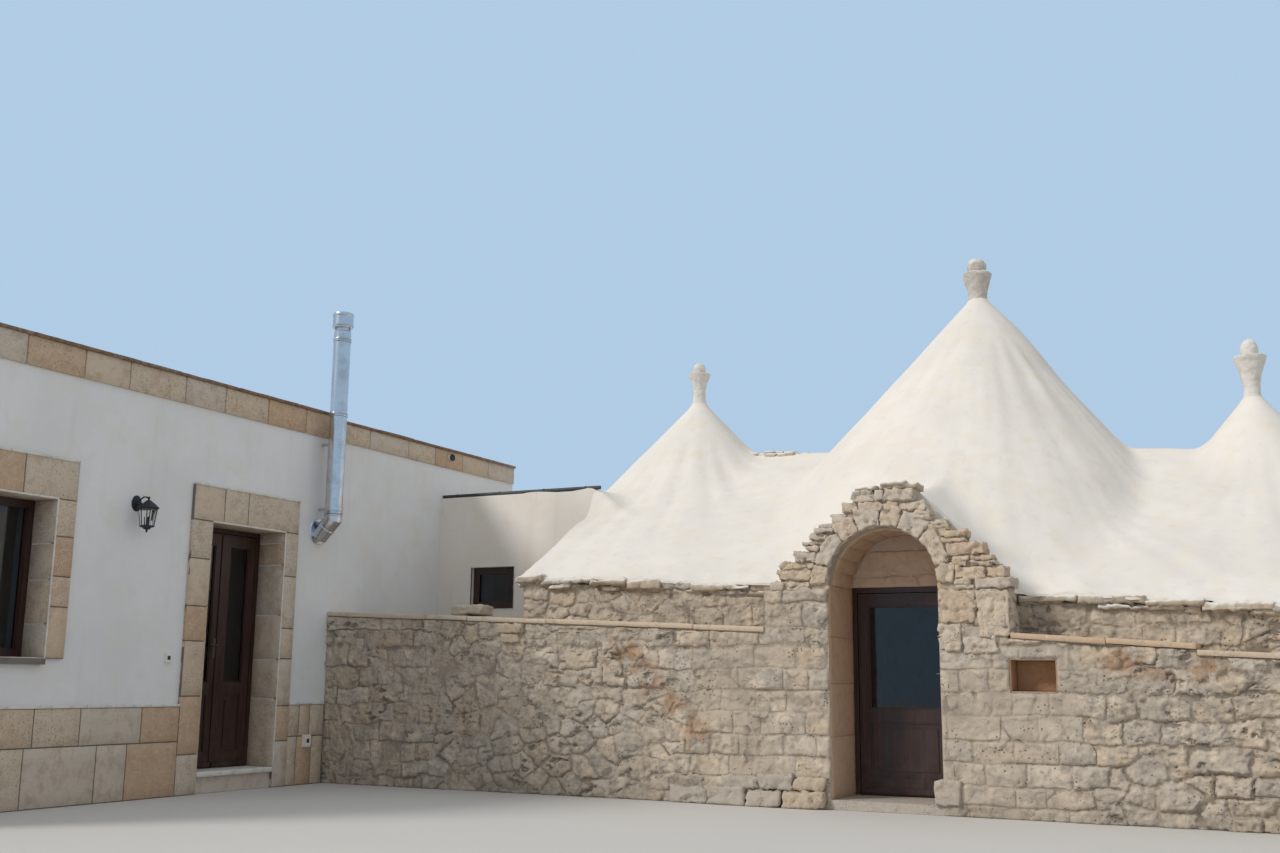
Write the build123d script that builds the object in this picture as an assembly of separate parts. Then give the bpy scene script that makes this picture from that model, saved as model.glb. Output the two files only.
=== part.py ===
"""Whitewashed trullo with three cones, a rubble forecourt wall and a flat-roofed wing.

Frame: origin on the axis of the main cone at ground level, +X along the trullo's
front to the right, +Y into the building, +Z up. Lengths in millimetres.
"""
from build123d import *
import math
import os

# Levels
FLOOR_Z = 80.0            # top of the stone floor inside the trullo
EAVE_Z = 1860.0           # eave height on the main axis
EAVE_FALL = 0.055         # the eave drops this much per unit of X
SPRING_Z = 1560.0         # where the corbelled vaults start
RIDGE_Z = 3600.0          # ridge of the saddles between the cones, on the main axis
HIP_Z_LEFT, HIP_Z_RIGHT, HIP_OVER = 2900.0, 2350.0, 300.0   # where the valley fill runs out at its two ends

# Cones: axis, radius at the eave, height of the finial's seat, room radius
MAIN_X, MAIN_R, MAIN_TOP, MAIN_ROOM = 0.0, 3250.0, 5335.0, 1650.0
LEFT_X, LEFT_R, LEFT_TOP, LEFT_ROOM = -3460.0, 2300.0, 4410.0, 1200.0
RIGHT_X, RIGHT_R, RIGHT_TOP, RIGHT_ROOM = 2750.0, 1950.0, 3950.0, 750.0
NECK_R = 95.0             # radius of every cone under its finial
# Finials: stem height, stem radius, cup radius, cup height, knob radius, knob height
MAIN_FINIAL = (100.0, 100.0, 165.0, 200.0, 105.0, 180.0)
LEFT_FINIAL = (210.0, 75.0, 140.0, 180.0, 75.0, 140.0)
RIGHT_FINIAL = (150.0, 80.0, 165.0, 290.0, 85.0, 190.0)
FLARE_H = 100.0           # height of the concave sweep below the neck
FLARE_OUT = 170.0         # radius where the sweep meets the straight slope
VAULT_COVER = 620.0       # masonry above each vault's apex
VAULT_APEX_R = 130.0      # closing slab of each vault
VAULT_BULGE = (0.62, 0.52)   # the vault's curve passes here, in shares of its radius and rise

# Plan of the trullo
DRUM_CUT, LOW_WALL_T, BLOCK_SETBACK = 100.0, 440.0, 1500.0
FRONT_Y = DRUM_CUT - MAIN_R       # face of the drum wall, cut flat just inside the main cone's foot
FORE_Y = FRONT_Y - LOW_WALL_T     # face of the low walls and of the portal
BLOCK_Y = FRONT_Y + BLOCK_SETBACK   # face of the white block beside the wing
DRUM_LEFT_X = -3970.0     # left corner of the drum wall
SPLIT_LEFT = -1950.0      # wall line between left and main room
SPLIT_RIGHT = 1830.0      # wall line between main and right room
BAND_LEFT, BAND_MAIN, BAND_RIGHT = 850.0, 1150.0, 530.0
PASSAGE_W, PASSAGE_SPRING = 900.0, 1250.0
FRONT_CORNER = 0.45       # the drum wall runs on past the right cone's axis by this share of its radius

# Portal
PORTAL_X = -115.0         # axis of the arched doorway
DOORWAY_W = 970.0
ARCH_SPRING = 1895.0
REVEAL_D = 660.0          # from the portal's face to the door
DOORWAY_Z = 1910.0        # underside of the tympanum
TYMPANUM_T = 260.0
SPLAY = 120.0             # the doorway is this much wider inside, each side
PIER_X = (-1190.0, 930.0)
GABLE_STEPS = 6
GABLE_TOP = 2745.0
GABLE_HALF = (1040.0, 290.0)   # half width of the lowest and of the top step
GABLE_BASE = 1830.0
GABLE_MID_X = -40.0
PORTAL_RUN = 1250.0       # length of the portal's roof from the drum wall into the cone
PORTAL_RIDGE = (150.0, FRONT_Y + PORTAL_RUN, 3050.0)   # inner end of the portal's ridge
GABLE_LIP = 30.0
PORTAL_SPREAD = 1.6       # how much wider the portal's roof is where it meets the cone
SCRAP = 5e6               # offcuts of the valley fills smaller than this are dropped, cubic mm

# Low walls and their copings
LOW_LEFT_Z = (1700.0, 1495.0)
TERRACE_Z = 1450.0
LOW_RIGHT_STEP = 2360.0
LOW_RIGHT_Z = (1430.0, 1330.0, 1285.0, 1180.0)
LOW_RIGHT_END = 4700.0
LOW_RIGHT_DEPTH = 2000.0   # depth of the fill behind the right low wall
COPING_T, COPING_LIP = 45.0, 40.0
EAVE_T, EAVE_LIP, EAVE_SEAT = 55.0, 60.0, 180.0
NICHE = (935.0, 1310.0, 990.0, 1260.0)   # left, right, bottom, top
NICHE_D = 260.0

# White block between trullo and wing
BLOCK_TOP = 3180.0
BLOCK_T = 400.0
BLOCK_BACK = -80.0
BLOCK_ROOM_X, BLOCK_ROOM_Y = -4950.0, -450.0
BLOCK_ROOF_T = 260.0
SHOULDER_X = (-3960.0, -2500.0)
HATCH = (-5640.0, -5050.0, 1860.0, 2340.0)

# Wing
WING_X = -6100.0
WING_T = 450.0
WING_BACK_X = -10600.0
WING_NEAR_Y, WING_FAR_Y = -9300.0, -80.0
WING_TOP = 3563.0
COPING_H, COPING_H_FAR, COPING_SPLIT = 279.0, 237.0, -3600.0
COPING_OUT, DRIP_T = 25.0, 30.0
PLINTH_Z, PLINTH_T = 790.0, 25.0
WING_FLOOR = 190.0
CEILING_Z, ROOF_T = 3080.0, 260.0
DOOR_OFF, DOOR_HEAD = (1780.0, 770.0), 2500.0   # near and far edge, from the low wall's face
DOOR = (FORE_Y - DOOR_OFF[0], FORE_Y - DOOR_OFF[1], DOOR_HEAD)
WINDOW = (-8200.0, -7135.0, 1190.0)        # near edge, far edge, sill
BAND_T, BAND_W, BAND_TOP = 30.0, 250.0, 2830.0
BAND_FAR_W = 190.0
DOOR_SET, WINDOW_SET = 300.0, 240.0        # depth of the reveals
SILL_T, SILL_OUT = 50.0, 20.0

# Joinery
FRAME_W, FRAME_D = 50.0, 80.0
LEAF_T, LEAF_GAP, MEETING_GAP = 45.0, 8.0, 10.0
SASH_T, SASH_W, HATCH_SET = 60.0, 65.0, 60.0
STILE, GLASS_T = 95.0, 8.0
RAIL_LOW, RAIL_MID = 150.0, 110.0
PANEL_T = 22.0
TRULLO_HANDLE, WING_HANDLE = 1020.0, 1130.0   # height of the handle above the leaf's foot
TRULLO_GLASS, WING_GLASS = 740.0, 800.0    # height of the glass above the leaf's foot
PLATE_W, PLATE_H, PLATE_T = 38.0, 190.0, 6.0
HINGE_AT, HINGE_R, HINGE_H, HINGE_PLAY = (0.1, 0.5, 0.86), 7.5, 45.0, 0.3
HINGE_PLATE, HINGE_T = 32.0, 3.0
LEVER_OUT, LEVER_R, LEVER_L, STEM_R = 48.0, 8.0, 95.0, 6.5

# Flue, lantern and small fittings on the wing
FLUE_OFF, FLUE_OUT, FLUE_D = 245.0, 190.0, 180.0
FLUE_Y = FORE_Y - FLUE_OFF
FLUE_TOP, FLUE_KNEE = 4900.0, 2680.0
CAP_D, CAP_H, CAP_GAP, CAP_NECK = 235.0, 165.0, 35.0, 150.0
BRACKET_Z, BRACKET_H, BRACKET_T = (3480.0, 2790.0), 28.0, 6.0
FLUE_BANDS, BAND_RIM = (2740.0, 3790.0, 4640.0), 8.0
LANTERN_OUT, LANTERN_PLATE, LANTERN_R, LANTERN_H = 150.0, 62.0, 92.0, 165.0
LANTERN_DROP = 45.0       # the glass starts this far below the arm's plate
LANTERN_TAPER, HOOD_TIP, FOOT_TAPER = (0.62, 0.86), 0.18, (0.3, 0.68)   # shares of the hood's radius
HOOD_H, FOOT_H, ARM_R = 62.0, 26.0, 8.0
ARM_SEAT, DROP_R = 9.6, 11.2
LANTERN_OFF, LANTERN_Z = 910.0, 2565.0
LANTERN_Y = DOOR[0] - LANTERN_OFF
SWITCH_OFF, SWITCH_Z, SOCKET_OFF, SOCKET_Z = 410.0, 1220.0, 310.0, 430.0
SWITCH_YZ, SOCKET_YZ = (DOOR[0] - SWITCH_OFF, SWITCH_Z), (FORE_Y - SOCKET_OFF, SOCKET_Z)
SPOT_Y, SPOT_Z = -1550.0, 3690.0
SWITCH_W, SWITCH_T = 84.0, 12.0
SOCKET_W, SOCKET_H, SOCKET_T = 90.0, 120.0, 40.0
SPOT_R, SPOT_L = 38.0, 45.0
PIPE_D, PIPE_END = 45.0, -3960.0

os.makedirs("parts", exist_ok=True)


def save(name, *solids):
    """Write one node; separate solids of like pieces share it."""
    shape = solids[0] if len(solids) == 1 else Compound(children=list(solids))
    export_step(shape, f"parts/{name}.step")


def box(x0, x1, y0, y1, z0, z1):
    """Box between two corners."""
    return Pos((x0 + x1) / 2, (y0 + y1) / 2, (z0 + z1) / 2) * Box(x1 - x0, y1 - y0, z1 - z0)


def slab_y(points, y0, y1):
    """Outline in X and Z, given depth from y0 to y1."""
    face = make_face(Polyline(*[(x, y0, z) for x, z in points], close=True))
    return extrude(face, amount=y1 - y0, dir=(0, 1, 0))


def drum(x, radius, z0, z1):
    """Upright cylinder."""
    return Pos(x, 0, z0) * Cylinder(radius, z1 - z0, align=(Align.CENTER, Align.CENTER, Align.MIN))


def eave_z(x):
    """Height of the sloping eave at x."""
    return EAVE_Z - EAVE_FALL * x


# Rooms and vaults
def room(x, radius, top):
    """Round room with its corbelled vault, as the space to cut out."""
    apex = top - VAULT_COVER
    rise = apex - SPRING_Z
    with BuildLine() as line:
        a = Line((0, FLOOR_Z), (radius, FLOOR_Z))
        b = Line(a @ 1, (radius, SPRING_Z))
        c = ThreePointArc(b @ 1, (radius * VAULT_BULGE[0], SPRING_Z + rise * VAULT_BULGE[1]), (VAULT_APEX_R, apex))
        Line(c @ 1, (0, apex))
        Line((0, apex), (0, FLOOR_Z))
    face = make_face(line.line)
    return Pos(x, 0, 0) * revolve(Plane.XZ * face, Axis.Z)


def cone(x, radius, top):
    """Outer body of a cone: straight slope swept up into a slim neck."""
    with BuildLine() as line:
        a = Line((0, 0), (radius, 0))
        b = Line(a @ 1, (radius, eave_z(x)))
        c = Line(b @ 1, (FLARE_OUT, top - FLARE_H))
        d = TangentArc(c @ 1, (NECK_R, top), tangent=c % 1)
        Line(d @ 1, (0, top))
        Line((0, top), (0, 0))
    return Pos(x, 0, 0) * revolve(Plane.XZ * make_face(line.line), Axis.Z)


def sector(shape, x0, x1, y0, y1):
    """The part of a wall mass inside a rectangle of the plan."""
    return shape & box(x0, x1, y0, y1, -1, MAIN_TOP)


rooms = (room(MAIN_X, MAIN_ROOM, MAIN_TOP) + room(LEFT_X, LEFT_ROOM, LEFT_TOP)
         + room(RIGHT_X, RIGHT_ROOM, RIGHT_TOP))
main_body, left_body, right_body = (
    cone(MAIN_X, MAIN_R, MAIN_TOP), cone(LEFT_X, LEFT_R, LEFT_TOP), cone(RIGHT_X, RIGHT_R, RIGHT_TOP))
FAR = 9000.0              # beyond every piece, for cutting

# Outline of the trullo: the hull of its cones, squared off at the drum wall
rims = [(Pos(x, 0) * Circle(r)).edge() for x, r in
        ((MAIN_X, MAIN_R), (LEFT_X, LEFT_R), (RIGHT_X, RIGHT_R))]
plan = extrude(make_hull(rims), amount=MAIN_TOP)
front_corner = RIGHT_X + RIGHT_R * FRONT_CORNER
outline = plan + box(DRUM_LEFT_X, front_corner, FRONT_Y, 0, 0, MAIN_TOP)
outline -= box(-FAR, FAR, -FAR, FRONT_Y, -1, MAIN_TOP + 1)
outline -= box(-FAR, DRUM_LEFT_X, -FAR, BLOCK_Y, -1, MAIN_TOP + 1)
outline -= box(-FAR, BLOCK_ROOM_X, -FAR, BLOCK_BACK, -1, BLOCK_TOP)
under_eave = slab_y([(-FAR, 0), (FAR, 0), (FAR, eave_z(FAR)), (-FAR, eave_z(-FAR))], -FAR / 2, FAR / 2)

# Doorway of the trullo, wider behind the door, under a barrel vault in front of it
door_x0, door_x1 = PORTAL_X - DOORWAY_W / 2, PORTAL_X + DOORWAY_W / 2
door_y = FORE_Y + REVEAL_D
inner_void = box(door_x0 - SPLAY, door_x1 + SPLAY, door_y + TYMPANUM_T, -MAIN_ROOM / 2, FLOOR_Z, DOORWAY_Z)
doorway = box(door_x0, door_x1, -FAR / 2, door_y + FRAME_D, FLOOR_Z, DOORWAY_Z)
doorway += box(door_x0 - SPLAY, door_x1 + SPLAY, door_y + FRAME_D, -MAIN_ROOM / 2, FLOOR_Z, DOORWAY_Z)


def barrel(y0, y1):
    """Round-headed solid of the portal's arch between two depths, above the door's head."""
    disc = Pos(PORTAL_X, (y0 + y1) / 2, ARCH_SPRING) * Rot(90, 0, 0) * Cylinder(DOORWAY_W / 2, y1 - y0)
    return disc & box(-FAR, FAR, y0, y1, DOORWAY_Z, FAR)


portal_void = barrel(-FAR / 2, door_y) + box(door_x0, door_x1, -FAR / 2, door_y, FLOOR_Z, DOORWAY_Z)
tympanum = barrel(door_y, door_y + TYMPANUM_T)
save("tympanum", tympanum)

# Passages between the rooms, under stone arches
passage = box(LEFT_X, RIGHT_X, -PASSAGE_W / 2, PASSAGE_W / 2, FLOOR_Z, MAIN_TOP) & under_eave
arch_void = (box(LEFT_X, RIGHT_X, -PASSAGE_W / 2, PASSAGE_W / 2, FLOOR_Z, PASSAGE_SPRING)
             + Pos(0, 0, PASSAGE_SPRING) * Rot(0, 90, 0) * Cylinder(PASSAGE_W / 2, FAR))
save("passage_arches", *(passage - arch_void - rooms).solids())

# Floor of the trullo, one stone level through rooms, passages and doorway
tread = (drum(MAIN_X, MAIN_ROOM, 0, FLOOR_Z) + drum(LEFT_X, LEFT_ROOM, 0, FLOOR_Z)
         + drum(RIGHT_X, RIGHT_ROOM, 0, FLOOR_Z)
         + box(LEFT_X, RIGHT_X, -PASSAGE_W / 2, PASSAGE_W / 2, 0, FLOOR_Z)
         + box(door_x0 - SPLAY, door_x1 + SPLAY, door_y + FRAME_D, 0, 0, FLOOR_Z)
         + box(door_x0, door_x1, FORE_Y, door_y + FRAME_D, 0, FLOOR_Z))
save("trullo_floor", tread)


def sloping(x0, x1, y0, y1, z0, z1, t):
    """Thin course whose top runs from z0 to z1."""
    return slab_y([(x0, z0 - t), (x1, z1 - t), (x1, z1), (x0, z0)], y0, y1)


# Walls of the trullo, one wall mass divided between its sides
eave_ends = [(DRUM_LEFT_X - EAVE_LIP, PIER_X[0]), (PIER_X[1] + GABLE_LIP, front_corner + EAVE_LIP)]
eaves = [sloping(a, b, FRONT_Y - EAVE_LIP, FRONT_Y + EAVE_SEAT, eave_z(a), eave_z(b), EAVE_T)
         for a, b in eave_ends]
save("eave_slabs", *eaves)
walls = (outline & under_eave) - rooms - passage - doorway - tread
for eave in eaves:
    walls -= eave
save("left_end_wall", sector(walls, -FAR, DRUM_LEFT_X, -FAR, FAR))
save("left_front_wall", sector(walls, DRUM_LEFT_X, SPLIT_LEFT, -FAR, -BAND_LEFT))
save("left_back_wall", sector(walls, DRUM_LEFT_X, SPLIT_LEFT, BAND_LEFT, FAR))
save("main_front_wall_left", sector(walls, SPLIT_LEFT, PORTAL_X, -FAR, -BAND_MAIN)
     + box(PIER_X[0], door_x0, FORE_Y, FRONT_Y, 0, GABLE_BASE))
save("main_front_wall_right", sector(walls, PORTAL_X, SPLIT_RIGHT, -FAR, -BAND_MAIN)
     + box(door_x1, PIER_X[1], FORE_Y, FRONT_Y, 0, GABLE_BASE))
save("main_back_wall", sector(walls, SPLIT_LEFT, SPLIT_RIGHT, BAND_MAIN, FAR))
save("right_front_wall", sector(walls, SPLIT_RIGHT, FAR, -FAR, -BAND_RIGHT))
save("right_back_wall", sector(walls, SPLIT_RIGHT, FAR, BAND_RIGHT, FAR))
save("right_end_wall", sector(walls, RIGHT_X, FAR, -BAND_RIGHT, BAND_RIGHT))
piers = []
for y0, y1 in ((-1, 0), (0, 1)):
    piers.append(sector(walls, DRUM_LEFT_X, SPLIT_LEFT, y0 * BAND_LEFT, y1 * BAND_LEFT)
                 + sector(walls, SPLIT_LEFT, MAIN_X, y0 * BAND_MAIN, y1 * BAND_MAIN))
    piers.append(sector(walls, MAIN_X, SPLIT_RIGHT, y0 * BAND_MAIN, y1 * BAND_MAIN)
                 + sector(walls, SPLIT_RIGHT, RIGHT_X, y0 * BAND_RIGHT, y1 * BAND_RIGHT))
save("room_piers", *piers)

# Portal: stepped gable over the arch, and the roof that runs back from it into the cone
steps = []
for i in range(GABLE_STEPS):
    half = GABLE_HALF[0] + (GABLE_HALF[1] - GABLE_HALF[0]) * i / (GABLE_STEPS - 1)
    rise = (GABLE_TOP - GABLE_BASE) / GABLE_STEPS
    steps.append((half, GABLE_BASE + rise * i, GABLE_BASE + rise * (i + 1)))
stair = [(GABLE_MID_X + half, z) for half, z0, z1 in steps for z in (z0, z1)]
stair += [(GABLE_MID_X - half, z) for half, z0, z1 in reversed(steps) for z in (z1, z0)]
gable_y = FORE_Y - GABLE_LIP
portal_gable = slab_y(stair, gable_y, FRONT_Y) - portal_void
save("portal_arch", portal_gable)


def roof_section(points, y):
    """Closed outline across the portal's roof at a depth."""
    return make_face(Polyline(*[(x, y, z) for x, z in points], close=True))


half = GABLE_HALF[0]
portal_solid = loft([
    roof_section([(-half, GABLE_BASE), (GABLE_MID_X, GABLE_TOP - EAVE_T), (half, GABLE_BASE)], FRONT_Y),
    roof_section([(-half * PORTAL_SPREAD, GABLE_BASE), (PORTAL_RIDGE[0], PORTAL_RIDGE[2]), (half * PORTAL_SPREAD, GABLE_BASE)],
                 PORTAL_RIDGE[1])], ruled=True)
portal_roof = portal_solid - main_body - under_eave - portal_void - tympanum - inner_void - doorway
for eave in eaves:
    portal_roof -= eave
save("portal_roof", portal_roof.solids().sort_by(SortBy.VOLUME)[-1])

# Cones, the saddles that fill the valleys between them, and the shoulder beside the block
above = outline - under_eave
for eave in eaves:
    above -= eave
above = above - rooms - inner_void - doorway - portal_void - tympanum
main_cone = main_body & above
left_cone = (left_body & above) - main_body
right_cone = (right_body & above) - main_body
save("main_cone", main_cone)
save("left_cone", left_cone)
save("right_cone", right_cone)


valley_end = front_corner - DRUM_LEFT_X
section = [(FRONT_Y, 0), (FRONT_Y, eave_z(DRUM_LEFT_X)), (0, RIDGE_Z - EAVE_FALL * DRUM_LEFT_X),
           (LEFT_R, eave_z(DRUM_LEFT_X)), (LEFT_R, 0)]
valley = extrude(make_face(Polyline(*[(DRUM_LEFT_X, y, z) for y, z in section], close=True)),
                 amount=valley_end * math.sqrt(1 + EAVE_FALL ** 2), dir=(1, 0, -EAVE_FALL))
valley &= slab_y([(DRUM_LEFT_X, 0), (DRUM_LEFT_X, HIP_Z_LEFT), (LEFT_X, RIDGE_Z + HIP_OVER),
                  (RIGHT_X, RIDGE_Z + HIP_OVER), (front_corner, HIP_Z_RIGHT), (front_corner, 0)], -FAR, FAR)
saddles = (valley & above) - main_body - left_body - right_body - portal_solid
save("roof_saddles", *[s for s in saddles.solids() if s.volume > SCRAP])
shoulder = slab_y([(BLOCK_ROOM_X, 0), (BLOCK_ROOM_X, BLOCK_TOP), (SHOULDER_X[0], BLOCK_TOP),
                   (SHOULDER_X[1], eave_z(SHOULDER_X[1])), (SHOULDER_X[1], 0)], BLOCK_Y, BLOCK_BACK)
shoulder = (shoulder & above) - left_body - main_body - valley
save("block_shoulder", *[s for s in shoulder.solids() if s.volume > SCRAP])


# Finials: a stem, a cup and a knob turned on each cone's axis
def finial(x, top, stem_h, stem_r, cup_r, cup_h, knob_r, knob_h):
    """Turned finial seated on the neck of a cone."""
    rim, tip = stem_h + cup_h, stem_h + cup_h + knob_h
    with BuildLine() as line:
        a = Line((0, 0), (NECK_R, 0))
        b = Line(a @ 1, (stem_r, stem_h * 0.5))
        c = ThreePointArc(b @ 1, (stem_r + (cup_r - stem_r) * 0.35, stem_h + cup_h * 0.45), (cup_r, rim))
        d = Line(c @ 1, (knob_r * 0.8, rim))
        e = ThreePointArc(d @ 1, (knob_r, rim + knob_h * 0.4), (knob_r * 0.62, rim + knob_h * 0.86))
        f = Line(e @ 1, (knob_r * 0.2, tip))
        g = Line(f @ 1, (0, tip))
        Line(g @ 1, (0, 0))
    return Pos(x, 0, top) * revolve(Plane.XZ * make_face(line.line), Axis.Z)


save("finials", finial(MAIN_X, MAIN_TOP, *MAIN_FINIAL), finial(LEFT_X, LEFT_TOP, *LEFT_FINIAL),
     finial(RIGHT_X, RIGHT_TOP, *RIGHT_FINIAL))

# Low walls in front, their copings and the fill behind them
low_left = slab_y([(WING_X, 0), (PIER_X[0], 0), (PIER_X[0], LOW_LEFT_Z[1]), (WING_X, LOW_LEFT_Z[0])],
                  FORE_Y, FRONT_Y)
save("left_low_wall", low_left)
z0, z1, z2, z3 = LOW_RIGHT_Z
low_right = slab_y([(PIER_X[1], 0), (LOW_RIGHT_END, 0), (LOW_RIGHT_END, z3), (LOW_RIGHT_STEP, z2),
                    (LOW_RIGHT_STEP, z1), (PIER_X[1], z0)], FORE_Y, FRONT_Y)
low_right -= box(NICHE[0], NICHE[1], FORE_Y - 1, FORE_Y + NICHE_D, NICHE[2], NICHE[3])
save("right_low_wall", low_right)
save("terrace_fills", box(WING_X, DRUM_LEFT_X, FRONT_Y, BLOCK_Y, 0, TERRACE_Z),
     box(front_corner, LOW_RIGHT_END, FRONT_Y, FRONT_Y + LOW_RIGHT_DEPTH, 0, z3) - outline)
save("low_wall_copings",
     sloping(WING_X, PIER_X[0], FORE_Y - COPING_LIP, FRONT_Y, LOW_LEFT_Z[0] + COPING_T,
             LOW_LEFT_Z[1] + COPING_T, COPING_T),
     sloping(PIER_X[1] + GABLE_LIP, LOW_RIGHT_STEP, FORE_Y - COPING_LIP, FRONT_Y, z0 + COPING_T,
             z1 + COPING_T, COPING_T) - slab_y(stair, gable_y, FRONT_Y),
     sloping(LOW_RIGHT_STEP, LOW_RIGHT_END, FORE_Y - COPING_LIP, FRONT_Y, z2 + COPING_T,
             z3 + COPING_T, COPING_T) - box(-FAR, LOW_RIGHT_STEP, -FAR, FAR, z1, FAR))

# White block between trullo and wing, with its hatch
block_under = BLOCK_TOP - BLOCK_ROOF_T
front_block = box(WING_X, BLOCK_ROOM_X, BLOCK_Y, BLOCK_Y + BLOCK_T, 0, block_under)
front_block -= box(HATCH[0], HATCH[1], BLOCK_Y - 1, BLOCK_Y + BLOCK_T + 1, HATCH[2], HATCH[3])
save("block_walls", front_block, box(WING_X, BLOCK_ROOM_X, BLOCK_ROOM_Y, BLOCK_BACK, 0, block_under))
save("block_roof", box(WING_X, BLOCK_ROOM_X, BLOCK_Y, BLOCK_BACK, block_under, BLOCK_TOP))
pipe_z = BLOCK_TOP + PIPE_D / 2
save("roof_pipe", Pos((WING_X + PIPE_END) / 2, BLOCK_Y + PIPE_D, pipe_z) * Rot(0, 90, 0)
     * Cylinder(PIPE_D / 2, PIPE_END - WING_X))

# Wing: walls split beside and over its door and window
wall_x = WING_X - WING_T
save("facade_wall_end", box(wall_x, WING_X, WING_NEAR_Y, WINDOW[0], 0, DOOR[2]))
save("facade_wall_sill", box(wall_x, WING_X, WINDOW[0], WINDOW[1], 0, WINDOW[2]))
save("facade_wall_middle", box(wall_x, WING_X, WINDOW[1], DOOR[0], 0, DOOR[2]))
save("facade_wall_right", box(wall_x, WING_X, DOOR[1], WING_FAR_Y, 0, DOOR[2]))
save("facade_wall_top", box(wall_x, WING_X, WING_NEAR_Y, WING_FAR_Y, DOOR[2], WING_TOP))
save("wing_back_wall", box(WING_BACK_X, WING_BACK_X + WING_T, WING_NEAR_Y, WING_FAR_Y, 0, WING_TOP))
save("wing_end_walls",
     box(WING_BACK_X + WING_T, wall_x, WING_NEAR_Y, WING_NEAR_Y + WING_T, 0, WING_TOP),
     box(WING_BACK_X + WING_T, wall_x, WING_FAR_Y - WING_T, WING_FAR_Y, 0, WING_TOP))
room_box = (WING_BACK_X + WING_T, wall_x, WING_NEAR_Y + WING_T, WING_FAR_Y - WING_T)
save("wing_floor", box(*room_box, 0, WING_FLOOR) + box(wall_x, WING_X, DOOR[0], DOOR[1], 0, WING_FLOOR))
save("wing_roof", box(*room_box, CEILING_Z, CEILING_Z + ROOF_T))


def coping(y0, y1, h):
    """Parapet blocks over the facade, with the thin slab that sheds water."""
    blocks = box(wall_x, WING_X + COPING_OUT, y0, y1, WING_TOP, WING_TOP + h - DRIP_T)
    return blocks + box(wall_x - COPING_OUT, WING_X + COPING_OUT * 2, y0, y1, WING_TOP + h - DRIP_T,
                        WING_TOP + h)


ring = box(WING_BACK_X - COPING_OUT, wall_x, WING_NEAR_Y, WING_FAR_Y, WING_TOP, WING_TOP + COPING_H_FAR)
ring -= box(WING_BACK_X + WING_T, wall_x, WING_NEAR_Y + WING_T, WING_FAR_Y - WING_T, 0, FAR)
facade_coping = (coping(WING_NEAR_Y, COPING_SPLIT, COPING_H)
                 + coping(COPING_SPLIT, WING_FAR_Y, COPING_H_FAR))
save("wing_coping", facade_coping + ring)
band_x = WING_X + BAND_T
door_band = box(WING_X, band_x, DOOR[0] - BAND_W, DOOR[1] + BAND_FAR_W, 0, BAND_TOP)
door_band -= box(-FAR, FAR, DOOR[0], DOOR[1], -1, DOOR[2])
save("door_surround", door_band)
window_band = box(WING_X, band_x, WINDOW[0] - BAND_FAR_W, WINDOW[1] + BAND_FAR_W, WINDOW[2], BAND_TOP)
window_band -= box(-FAR, FAR, WINDOW[0], WINDOW[1], WINDOW[2] - 1, DOOR[2])
window_band += box(WING_X, band_x + SILL_OUT, WINDOW[0], WINDOW[1], WINDOW[2] - SILL_T, WINDOW[2])
save("window_surround", window_band)
plinth = box(WING_X, WING_X + PLINTH_T, WING_NEAR_Y, FORE_Y - COPING_LIP, 0, PLINTH_Z)
plinth -= box(WING_X, band_x, DOOR[0] - BAND_W, DOOR[1] + BAND_FAR_W, -1, FAR)
save("wing_plinth", *plinth.solids())


# Joinery, built in a local frame: X along the width, Y inward, Z up
def frame_of(width, height, depth=FRAME_D):
    """Door or window frame around an opening, without a sill."""
    outer = Pos(0, depth / 2, height / 2) * Box(width, depth, height)
    return outer - Pos(0, depth / 2, (height - FRAME_W) / 2) * Box(width - 2 * FRAME_W, depth, height - FRAME_W)


def leaf_of(width, height, glass_z):
    """Glazed leaf on the joint line x=0 to x=width: stiles, rails and a lower panel."""
    solid = Pos(width / 2, LEAF_T / 2, height / 2) * Box(width, LEAF_T, height)
    pane_w, pane_h = width - 2 * STILE, height - glass_z - RAIL_MID
    solid -= Pos(width / 2, LEAF_T / 2, glass_z + pane_h / 2) * Box(pane_w, LEAF_T, pane_h)
    panel_h = glass_z - RAIL_MID - RAIL_LOW
    for y in (0, LEAF_T):
        solid -= Pos(width / 2, y, RAIL_LOW + panel_h / 2) * Box(pane_w, LEAF_T - PANEL_T, panel_h)
    pane = Pos(width / 2, LEAF_T / 2, glass_z + pane_h / 2) * Box(pane_w, GLASS_T, pane_h)
    return solid, pane


def handle(side):
    """Lever handle on both faces of a leaf; side is the way the lever points."""
    parts = []
    for y, out in ((0, -1), (LEAF_T, 1)):
        plate = Pos(0, y + out * PLATE_T / 2, 0) * Box(PLATE_W, PLATE_T, PLATE_H)
        stem = Pos(0, y + out * LEVER_OUT / 2, PLATE_H / 6) * Rot(90, 0, 0) * Cylinder(STEM_R, LEVER_OUT)
        lever = Pos(side * (LEVER_L / 2 - LEVER_R), y + out * LEVER_OUT, PLATE_H / 6) * Rot(0, 90, 0) * Cylinder(
            LEVER_R, LEVER_L)
        parts.append(plate + stem + lever)
    return parts


def knuckles(height, side, on_leaf):
    """Lift-off hinge halves on the hinge line: the leaf's rest on the frame's."""
    halves = []
    for share in HINGE_AT:
        z = height * share + (HINGE_H + HINGE_PLAY if on_leaf else 0)
        base = (Align.CENTER, Align.CENTER, Align.MIN)
        half = Pos(0, 0, z) * Cylinder(HINGE_R, HINGE_H, align=base)
        if on_leaf:
            half += Pos(side * HINGE_PLATE / 2, HINGE_T / 2, z) * Box(HINGE_PLATE, HINGE_T, HINGE_H, align=base)
        else:
            half += Pos(-side * LEAF_GAP / 2, 0, z) * Box(LEAF_GAP, HINGE_T * 2, HINGE_H, align=base)
        halves.append(half)
    return halves


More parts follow.
